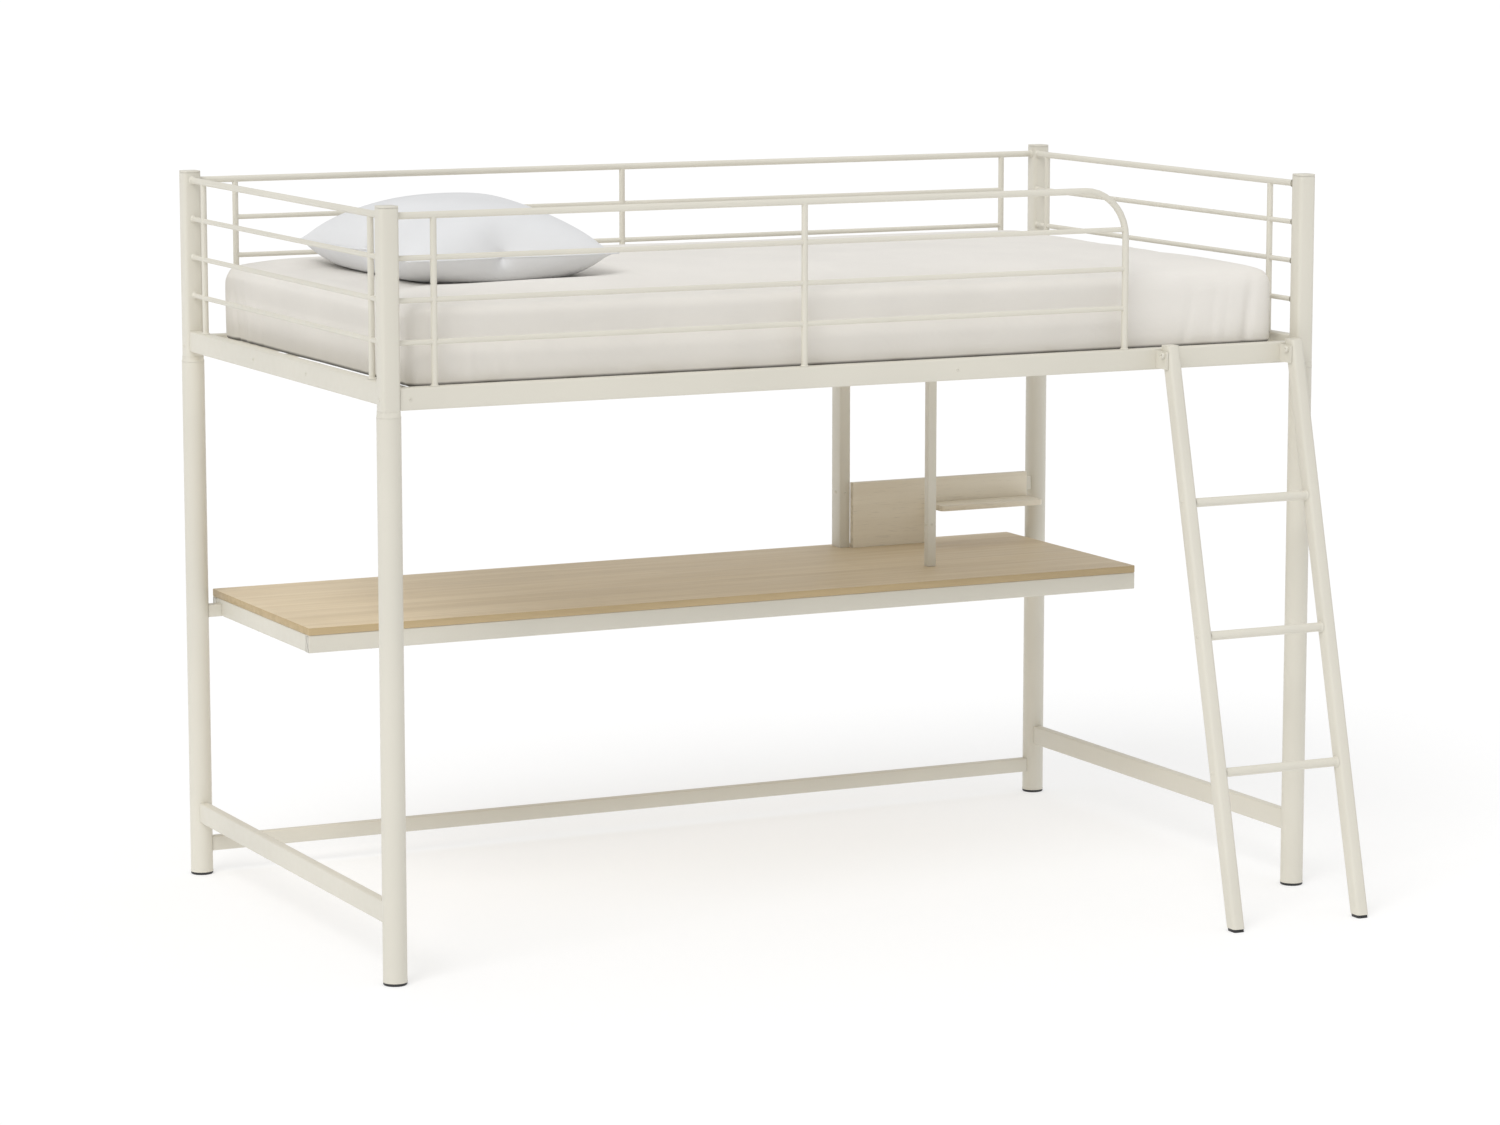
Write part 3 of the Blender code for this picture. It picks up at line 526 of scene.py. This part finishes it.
def sheet_blank(centre, size):
    """A block with rounded upright corners, a soft top edge and a small bottom edge."""
    bm = bmesh.new()
    placing = Matrix.Translation(centre) @ Matrix.Diagonal((*size, 1.0))
    bmesh.ops.create_cube(bm, size=1.0, matrix=placing)
    upright = [edge for edge in bm.edges if abs(edge.verts[0].co.z - edge.verts[1].co.z) > size.z / 2]
    bmesh.ops.bevel(bm, geom=upright, offset=SHEET_CORNER, segments=6, profile=0.5, affect="EDGES")
    for top, width, segments in ((True, SHEET_TOP_EDGE, 5), (False, SHEET_BOTTOM_EDGE, 2)):
        rim = []
        for edge in bm.edges:
            ends = [vertex.co.z > centre.z for vertex in edge.verts]
            faces = [abs(face.normal.z) > 0.9 for face in edge.link_faces]
            if ends == [top, top] and any(faces) and not all(faces):
                rim.append(edge)
        bmesh.ops.bevel(bm, geom=rim, offset=width, segments=segments, profile=0.5, affect="EDGES")
        bm.normal_update()
    return mesh_from("sheet_blank", bm)


def remeshed(mesh, voxel):
    carrier = bpy.data.objects.new("carrier", mesh)
    bpy.context.scene.collection.objects.link(carrier)
    remesh = carrier.modifiers.new("even_grid", "REMESH")
    remesh.mode = "VOXEL"
    remesh.voxel_size = voxel
    result = evaluated_mesh(carrier)
    bpy.data.objects.remove(carrier, do_unlink=True)
    return result


def pleat(distance, width):
    """One soft fold: 1 on its line, falling to 0 at its width."""
    share = min(abs(distance) / width, 1.0)
    return (1.0 - share * share) ** 2


def shape_gathers(mesh, centre, size):
    """Tucks and puckers near each corner and slack along the sides, pressed into the sheet."""
    places = coordinates(mesh)
    half = (size.x / 2, size.y / 2)
    bottom = centre.z - size.z / 2
    for index, place in enumerate(places):
        offset = [place[axis] - centre[axis] for axis in (0, 1)]
        share = [abs(offset[axis]) / half[axis] for axis in (0, 1)]
        axis = 0 if share[0] > share[1] else 1
        wall = min(max((abs(offset[axis]) - half[axis] + SIDE_CLOTH[0]) / SIDE_CLOTH[1], 0.0), 1.0)
        if wall == 0.0:
            continue
        height = min(max((place[2] - bottom) / size.z, 0.0), 1.0)
        from_corner = half[1 - axis] - abs(offset[1 - axis])
        near = 1.0 - min(max(from_corner - GATHER_REACH[0], 0.0) / GATHER_REACH[1], 1.0)
        seed = Vector((place[0], place[1], 0.0)) * 4.0
        slack = SLACK_DEPTH * noise.noise(seed + Vector((7.0, 3.0, place[2] * 9.0)))
        seed = Vector((place[0] * 26.0, place[1] * 26.0, place[2] * 7.0))
        puckers = PUCKER_DEPTH * near * noise.noise(seed)
        tucks = 0.0
        for line, depth in TUCKS:
            sway = TUCK_SWAY * noise.noise(Vector((line * 40.0, offset[axis], place[2] * 12.0)))
            tucks -= depth * pleat(from_corner - line - sway - TUCK_LEAN * (1.0 - height), TUCK_WIDTH)
        fade = math.sin(math.pi * (height * 0.52 + 0.44)) * (1.0 - height**4)
        shift = (slack + puckers * (1.0 - 0.7 * height) + tucks * fade) * wall
        places[index, axis] += shift if offset[axis] > 0 else -shift
    for axis in (0, 1):
        reach = half[axis] + SHEET_BOUND
        places[:, axis] = np.clip(places[:, axis], centre[axis] - reach, centre[axis] + reach)
    set_coordinates(mesh, places)


def crown(mesh, centre, size, bottom):
    """Raise the middle of the top, ruffle it slightly and leave the underside flat on the slats."""
    places = coordinates(mesh)
    share = np.clip((places[:, 2] - bottom) / size.z, 0.0, 1.0)
    u = np.clip(np.abs(places[:, 0] - centre.x) / (size.x / 2), 0.0, 1.0)
    v = np.clip(np.abs(places[:, 1] - centre.y) / (size.y / 2), 0.0, 1.0)
    dent = pillow_dent(places)
    rise = (1 - u**4) * (1 - v**2.5) * (1 - dent) * SHEET_CROWN - dent * DENT_DEPTH
    ripple = np.array([noise.noise(Vector((x * 5.0, y * 7.0, 2.0))) for x, y, _ in places])
    places[:, 2] += (rise + SHEET_RIPPLE * ripple) * share**2
    height = np.maximum(places[:, 2] - bottom, 0.0)
    places[:, 2] = bottom + np.where(height < SHEET_SETTLING, height**2 / SHEET_SETTLING, height)
    set_coordinates(mesh, places)


def pillow_dent(places):
    """How far the pillow's weight flattens the mattress's crown, 0 to 1."""
    low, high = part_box("pillow")
    dent = 1.0
    for axis in (0, 1):
        reach = (high[axis] - low[axis]) / 2 + DENT_MARGIN
        share = np.abs(places[:, axis] - (low[axis] + high[axis]) / 2) / reach
        dent = dent * np.clip(1.0 - share**4, 0.0, 1.0)
    return dent


def pillow():
    """A plump pillow: two sheets of cloth sewn round their rim, filled, and laid on the mattress."""
    low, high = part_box("pillow")
    centre = (low + high) / 2
    size = high - low
    mesh, rim = pillow_blank(centre, size)
    mesh = inflate(mesh, PILLOW_PRESSURE, PILLOW_BENDING, PILLOW_FRAMES, PILLOW_SWELL)
    mesh = smoothed(mesh, set(rim), PILLOW_SMOOTHING)
    places = coordinates(mesh)
    settle_pillow(places, low, high)
    set_coordinates(mesh, places)
    mesh = subdivided(mesh)
    seam = [Vector(place) for place in coordinates(mesh)[rim]]
    obj = piece("pillow_in_case", mesh, "pillow", "white_pillowcase")
    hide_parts("pillow")
    piece("pillow_seam", closed_cord("pillow_seam", seam, PIPING_RADIUS), "pillow", "white_pillowcase")


def smoothed(mesh, fixed, rounds):
    """The mesh with its sharp creases eased, apart from some vertices that stay."""
    bm = bmesh.new()
    bm.from_mesh(mesh)
    loose = [vertex for vertex in bm.verts if vertex.index not in fixed]
    for _ in range(rounds):
        bmesh.ops.smooth_vert(bm, verts=loose, factor=0.5, use_axis_x=True, use_axis_y=True, use_axis_z=True)
    return mesh_from("smoothed", bm)


def pillow_blank(centre, size):
    """Two flat grids a little apart, joined at their rims, and the rim's vertices in order."""
    columns = round(size.x / PILLOW_CELL)
    rows = round(size.y / PILLOW_CELL)
    bm = bmesh.new()
    layers = []
    for side in (1, -1):
        grid = []
        for i in range(columns + 1):
            for j in range(rows + 1):
                u, v = 2 * i / columns - 1, 2 * j / rows - 1
                if side < 0 and max(abs(u), abs(v)) == 1.0:
                    grid.append(layers[0][i * (rows + 1) + j])
                    continue
                bulge = PILLOW_BLANK_BULGE * size.z * math.sqrt((1 - u * u) * (1 - v * v))
                sway = noise.noise(Vector((u * 3.0, v * 4.0, side * 3.0)))
                wobble = PILLOW_BLANK_WOBBLE * sway * (1 - u * u) * (1 - v * v)
                x = centre.x + u * PILLOW_CUT * size.x / 2
                y = centre.y + v * PILLOW_CUT * size.y / 2
                grid.append(bm.verts.new((x, y, centre.z + side * bulge + wobble)))
        layers.append(grid)
    for side, grid in zip((1, -1), layers):
        for i in range(columns):
            for j in range(rows):
                first = i * (rows + 1) + j
                loop = [grid[first], grid[first + rows + 1], grid[first + rows + 2], grid[first + 1]]
                bm.faces.new(loop if side > 0 else reversed(loop))
    steps = [(i, 0) for i in range(columns)] + [(columns, j) for j in range(rows)]
    steps += [(columns - i, rows) for i in range(columns)] + [(0, rows - j) for j in range(rows)]
    rim = [i * (rows + 1) + j for i, j in steps]
    return mesh_from("pillow_blank", bm), rim


def settle_pillow(places, low, high):
    """Fit the filled pillow to its box and flatten it where it lies on the mattress."""
    middle = (places.min(axis=0) + places.max(axis=0)) / 2
    share = np.abs(places - middle) / (places.max(axis=0) - middle)
    for axis in (0, 1):
        ease = 1.0 + PILLOW_EASE * (1.0 - share[:, 1 - axis] ** 2)
        places[:, axis] = middle[axis] + (places[:, axis] - middle[axis]) * ease
    for axis in (0, 1):
        stretch(places, axis, low[axis] - PILLOW_SPREAD, high[axis] + PILLOW_SPREAD)
    first, last = places[:, 2].min(), places[:, 2].max()
    height = ((places[:, 2] - first) / (last - first)) ** PILLOW_SAG
    thickness = (high.z - low.z) * PILLOW_PRESS
    places[:, 2] = high.z - thickness + height * thickness
    floor = low.z + PILLOW_GAP - DENT_DEPTH
    depth = places[:, 2] - floor
    settled = PILLOW_SINK * np.exp(np.minimum(depth / PILLOW_SINK - 1.0, 0.0))
    places[:, 2] = floor + np.where(depth > PILLOW_SINK, depth, settled)


def closed_cord(name, points, radius):
    """A thin round cord along a closed loop of points."""
    bm = bmesh.new()
    count = len(points)
    rings = []
    for index, point in enumerate(points):
        along = (points[(index + 1) % count] - points[index - 1]).normalized()
        side = along.cross(Vector((0, 0, 1))).normalized()
        up = side.cross(along)
        around = [math.cos(angle) * side + math.sin(angle) * up for angle in circle(PIPING_SIDES)]
        rings.append([bm.verts.new(point + radius * outward) for outward in around])
    for index in range(count):
        join_rings(bm, rings[index], rings[(index + 1) % count])
    return mesh_from(name, bm)


def join_rings(bm, first, second):
    """A band of faces between two rings of as many vertices."""
    for side in range(len(first)):
        after = (side + 1) % len(first)
        bm.faces.new((first[side], first[after], second[after], second[side]))


def join_stack(bm, rings):
    for first, second in zip(rings, rings[1:]):
        join_rings(bm, first, second)


def circle(sides):
    """Evenly spaced angles, once round."""
    return [2 * math.pi * side / sides for side in range(sides)]


# Fixings and joints


def ring_of(bm, outline, place, turn=Matrix.Identity(3)):
    return [bm.verts.new(Vector(place) + turn @ Vector(point)) for point in outline]


def button_head(bm, place, outward, radius, height):
    """A domed bolt head with a hexagonal socket."""
    turn = Vector(outward).to_track_quat("Z", "Y").to_matrix()
    socket = radius * SOCKET_SHARE
    profile = [
        (radius, 0.0, False),
        (radius, height * 0.25, False),
        (radius * 0.93, height * 0.60, False),
        (radius * 0.76, height * 0.90, False),
        (radius * 0.60, height, False),
        (socket * 1.08, height, True),
        (socket, height * 0.90, True),
        (socket, height * 0.25, True),
    ]
    rings = []
    for ring_radius, z, hexagonal in profile:
        outline = []
        for angle in circle(BOLT_SIDES):
            reach = ring_radius
            if hexagonal:
                reach /= math.cos((angle % (math.pi / 3)) - math.pi / 6)
            outline.append((reach * math.cos(angle), reach * math.sin(angle), z))
        rings.append(ring_of(bm, outline, place, turn))
    join_stack(bm, rings)
    bm.faces.new(rings[-1])
    bm.faces.new(reversed(rings[0]))


def add_heads(name, places, body, slot, size):
    """Bolt or screw heads, one for each (place, outward direction) pair."""
    bm = bmesh.new()
    for place, outward in places:
        button_head(bm, Vector(place), outward, *size)
    piece(name, mesh_from(name, bm), body, slot)


def frame_screws():
    """Small painted screws in the side and end rails, the upper posts and the hangers."""
    places = []
    for side, outward in (("front", -1), ("back", 1)):
        low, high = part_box(f"side_rail_{side}")
        y = low.y if outward < 0 else high.y
        middle_z = (low.z + high.z) / 2
        for share in SIDE_RAIL_SCREWS:
            places.append(((low.x + share * (high.x - low.x), y, middle_z), (0, outward, 0)))
    for end, outward in (("head", -1), ("foot", 1)):
        low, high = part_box(f"end_rail_{end}")
        x = low.x if outward < 0 else high.x
        for share in END_RAIL_SCREWS:
            y = low.y + share * (high.y - low.y)
            places.append(((x, y, (low.z + high.z) / 2), (outward, 0, 0)))
        for side in ("front", "back"):
            low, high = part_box(f"upper_post_{end}_{side}")
            x = low.x if outward < 0 else high.x
            places.append(((x, (low.y + high.y) / 2, middle_z), (outward, 0, 0)))
    panel_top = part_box("hutch_panel")[1].z
    for hanger, drop in HANGER_SCREWS:
        low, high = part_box(hanger)
        places.append((((low.x + high.x) / 2, low.y, panel_top - drop), (0, -1, 0)))
        places.append(((low.x, (low.y + high.y) / 2, panel_top - drop), (-1, 0, 0)))
    return places


def ladder_screws():
    """One screw through each stile's outer side into the end of each rung."""
    places = []
    for number in (1, 2, 3):
        low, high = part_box(f"ladder_rung_{number}")
        middle = (low + high) / 2
        for side, outward in (("head", -1), ("foot", 1)):
            stile_low, stile_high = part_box(f"ladder_stile_{side}")
            x = stile_low.x if outward < 0 else stile_high.x
            places.append(((x, middle.y, middle.z), (outward, 0, 0)))
    return places


def ladder_bolt_heads():
    """The domed heads of the two bolts that the ladder turns on."""
    places = []
    for side in ("head", "foot"):
        low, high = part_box(f"ladder_bolt_{side}")
        middle = (low + high) / 2
        places.append(((low.x + SKIN, middle.y, middle.z), (-1, 0, 0)))
    return places


def desk_screws():
    """Dark screws up through the desk's frame into its board, and under the shelf."""
    places = []
    for rail in ("desk_rail_front", "desk_rail_back"):
        low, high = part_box(rail)
        for step in range(BOARD_SCREWS):
            x = low.x + (step + 0.5) / BOARD_SCREWS * (high.x - low.x)
            places.append(((x, (low.y + high.y) / 2, low.z), (0, 0, -1)))
    low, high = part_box("hutch_shelf")
    for share in SHELF_SCREWS:
        x = low.x + share * (high.x - low.x)
        places.append(((x, high.y - SHELF_SCREW_INSET, low.z), (0, 0, -1)))
    return places


def bar_ends(node, axis, outward):
    """Centre and radius of each bar that ends on one side of a node's box."""
    low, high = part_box(node)
    face = low[axis] if outward < 0 else high[axis]
    places = coordinates(NODES[node].data)
    at_face = places[np.abs(places[:, axis] - face) < BAR_FACE]
    groups = []
    for place in at_face:
        for group in groups:
            if np.linalg.norm(group[0] - place) < BAR_SPACING:
                group.append(place)
                break
        else:
            groups.append([place])
    for group in groups:
        spots = np.unique(np.round(group, 5), axis=0)
        middle = (spots.min(axis=0) + spots.max(axis=0)) / 2
        yield Vector(middle), float((spots.max(axis=0) - spots.min(axis=0)).max() / 2)


def weld_bead(bm, place, inward, radius):
    """A ragged fillet round the end of a bar, on the face that the bar stands on."""
    turn = Vector(inward).to_track_quat("Z", "Y").to_matrix()
    rings = []
    for spread, rise in BEAD_PROFILE:
        outline = []
        for angle in circle(BEAD_SIDES):
            spot = Vector(place) * 60.0 + Vector((math.cos(angle), math.sin(angle), 0.0)) * 1.6
            ragged = 1.0 + BEAD_RAGGED * noise.noise(spot) * max(spread, 0.0)
            reach = radius + BEAD_WIDTH * spread * ragged
            z = BEAD_WIDTH * rise * ragged
            outline.append((reach * math.cos(angle), reach * math.sin(angle), z))
        rings.append(ring_of(bm, outline, place, turn))
    join_stack(bm, rings)


def add_welds():
    """Beads where the guards' bars meet the rails and posts, and where the rungs meet the stiles."""
    ends = []
    for guard in ("guard_front", "guard_back", "guard_head", "guard_foot"):
        ends.append((guard, 2, -1))
    for guard in ("guard_head", "guard_foot"):
        ends += [(guard, 1, -1), (guard, 1, 1)]
    ends += [("guard_front", 0, -1), ("guard_back", 0, -1), ("guard_back", 0, 1)]
    bm = bmesh.new()
    for node, axis, outward in ends:
        inward = Vector([-outward if index == axis else 0 for index in range(3)])
        for place, radius in bar_ends(node, axis, outward):
            weld_bead(bm, place, inward, radius)
    piece("guard_welds", mesh_from("guard_welds", bm), "bed_frame", "ivory_paint")
    bm = bmesh.new()
    for number in (1, 2, 3):
        low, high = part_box(f"ladder_rung_{number}")
        middle = (low + high) / 2
        radius = (high.z - low.z) / 2
        for x, inward in ((low.x, 1), (high.x, -1)):
            weld_bead(bm, (x, middle.y, middle.z), (inward, 0, 0), radius)
    piece("rung_welds", mesh_from("rung_welds", bm), "ladder", "ivory_paint")


def add_tube_caps():
    """Welded plates that close the ends of the desk's long frame tubes."""
    bm = bmesh.new()
    for rail in ("desk_rail_front", "desk_rail_back"):
        low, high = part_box(rail)
        centre = (low + high) / 2
        half_y, half_z = (high.y - low.y) / 2, (high.z - low.z) / 2
        for x, outward in ((low.x, -1), (high.x, 1)):
            rings = []
            for inset, rise in TUBE_CAP_PROFILE:
                outline = []
                for corner in range(4):
                    for step in range(4):
                        angle = math.pi / 2 * (corner + step / 3)
                        across = 1 if corner in (0, 3) else -1
                        upward = 1 if corner in (0, 1) else -1
                        y = across * (half_y - TUBE_CORNER) + (TUBE_CORNER - inset) * math.cos(angle)
                        z = upward * (half_z - TUBE_CORNER) + (TUBE_CORNER - inset) * math.sin(angle)
                        outline.append((outward * rise, y, z))
                rings.append(ring_of(bm, outline, (x, centre.y, centre.z)))
            join_stack(bm, rings)
            bm.faces.new(rings[-1])
    bmesh.ops.recalc_face_normals(bm, faces=bm.faces)
    piece("desk_tube_caps", mesh_from("desk_tube_caps", bm), "bed_frame", "ivory_paint")


def round_square_reach(angle, half, corner):
    """How far a square with rounded corners reaches in a direction."""
    turned = abs((angle + math.pi / 4) % (math.pi / 2) - math.pi / 4)
    straight = half - corner
    if half * math.tan(turned) <= straight:
        return half / math.cos(turned)
    along = straight * (math.cos(turned) + math.sin(turned))
    return along + math.sqrt(along * along - 2 * straight * straight + corner * corner)


def add_shoulders():
    """The swaged necks where the square upper posts narrow into the round lower posts."""
    bm = bmesh.new()
    rail_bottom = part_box("side_rail_front")[0].z
    for corner in ("head_front", "head_back", "foot_front", "foot_back"):
        low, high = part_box(f"lower_post_{corner}")
        square_low, square_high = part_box(f"upper_post_{corner}")
        centre = (low + high) / 2
        radius = (high.x - low.x) / 2 + SKIN
        half = (square_high.x - square_low.x) / 2 + SKIN
        bottom, top = high.z - SHOULDER_LAP, rail_bottom - SHOULDER_GAP
        rings = []
        for step in range(-1, SHOULDER_RINGS + 1):
            share = min(max(step / (SHOULDER_RINGS - 1), 0.0), 1.0)
            blend = share * share * (3 - 2 * share)
            lip = SHOULDER_LIP if step in (-1, SHOULDER_RINGS) else 0.0
            outline = []
            for angle in circle(SHOULDER_SIDES):
                square = round_square_reach(angle, half, SHOULDER_CORNER)
                reach = radius + (square - radius) * blend - lip
                outline.append((reach * math.cos(angle), reach * math.sin(angle), 0.0))
            rings.append(ring_of(bm, outline, (centre.x, centre.y, bottom + share * (top - bottom))))
        join_stack(bm, rings)
    piece("post_shoulders", mesh_from("post_shoulders", bm), "bed_frame", "ivory_paint")


def add_leg_lips():
    """A rolled lip round the lower end of each round leg, over its black glide."""
    bm = bmesh.new()
    for corner in ("head_front", "head_back", "foot_front", "foot_back"):
        low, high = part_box(f"lower_post_{corner}")
        centre = (low + high) / 2
        radius = (high.x - low.x) / 2
        rings = []
        for spread, rise in LIP_PROFILE:
            reach = radius + spread * SKIN
            outline = []
            for angle in circle(SHOULDER_SIDES):
                outline.append((reach * math.cos(angle), reach * math.sin(angle), rise * LIP_RISE))
            rings.append(ring_of(bm, outline, (centre.x, centre.y, low.z)))
        join_stack(bm, rings)
    piece("leg_lips", mesh_from("leg_lips", bm), "bed_frame", "ivory_paint")


# Stage


def add_floor():
    """A wide pale floor that glows a little, so that it looks lit all over."""
    bm = bmesh.new()
    bmesh.ops.create_grid(bm, x_segments=2, y_segments=2, size=FLOOR_SIZE / 2)
    obj = bpy.data.objects.new("floor", mesh_from("floor", bm))
    bpy.context.scene.collection.objects.link(obj)
    finish = Finish("floor", FLOOR_COLOUR, 0.9)
    glow = {"Emission_Color": (1.0, 1.0, 1.0, 1.0), "Emission_Strength": FLOOR_GLOW}
    obj.data.materials.append(finish.set(Specular_IOR_Level=0.1, **glow))
    obj.location.z = CAD_BOX[0].z


def add_light():
    """A sky that brightens upwards behind a white backdrop, and one soft lamp."""
    scene = bpy.context.scene
    world = bpy.data.worlds.new("studio")
    scene.world = world
    world.use_nodes = True
    tree = world.node_tree
    background = tree.nodes["Background"]
    background.inputs["Color"].default_value = (1.0, 1.0, 1.0, 1.0)
    direction = tree.nodes.new("ShaderNodeTexCoord").outputs["Generated"]
    split = tree.nodes.new("ShaderNodeSeparateXYZ")
    overhead = tree.nodes.new("ShaderNodeMapRange")
    overhead.inputs["To Min"].default_value = HORIZON_LIGHT
    overhead.inputs["To Max"].default_value = ZENITH_LIGHT
    tree.links.new(direction, split.inputs["Vector"])
    tree.links.new(split.outputs["Z"], overhead.inputs["Value"])
    backdrop = tree.nodes.new("ShaderNodeMix")
    backdrop.inputs["B"].default_value = BACKDROP
    seen = tree.nodes.new("ShaderNodeLightPath").outputs["Is Camera Ray"]
    tree.links.new(seen, backdrop.inputs["Factor"])
    tree.links.new(overhead.outputs["Result"], backdrop.inputs["A"])
    tree.links.new(backdrop.outputs["Result"], background.inputs["Strength"])
    sun = bpy.data.lights.new("key", "SUN")
    sun.energy = KEY_LIGHT
    sun.angle = math.radians(KEY_SOFTNESS)
    lamp = bpy.data.objects.new("key", sun)
    lamp.rotation_euler = [math.radians(angle) for angle in KEY_TILT]
    scene.collection.objects.link(lamp)
    scene.view_settings.view_transform = "Standard"


def add_camera():
    data = bpy.data.cameras.new("camera")
    data.lens = CAMERA_LENS
    data.clip_end = 2 * FLOOR_SIZE
    camera = bpy.data.objects.new("camera", data)
    low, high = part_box("lower_post_head_front")
    middle = (low + high) / 2
    camera.location = Vector((middle.x, middle.y, CAD_BOX[0].z)) + Vector(CAMERA_OFFSET)
    camera.rotation_euler = (math.radians(CAMERA_PITCH), 0.0, math.radians(CAMERA_YAW))
    bpy.context.scene.collection.objects.link(camera)
    bpy.context.scene.camera = camera


dress_nodes()
fitted_sheet()
pillow()
add_shoulders()
add_leg_lips()
add_welds()
add_tube_caps()
add_heads("frame_screws", frame_screws(), "bed_frame", "ivory_paint", SCREW)
add_heads("ladder_screws", ladder_screws(), "ladder", "ivory_paint", SCREW)
add_heads("ladder_bolt_heads", ladder_bolt_heads(), "bed_frame", "ivory_paint", BOLT)
add_heads("desk_screws", desk_screws(), "bed_frame", "black_plastic", SCREW)
add_floor()
add_light()
add_camera()
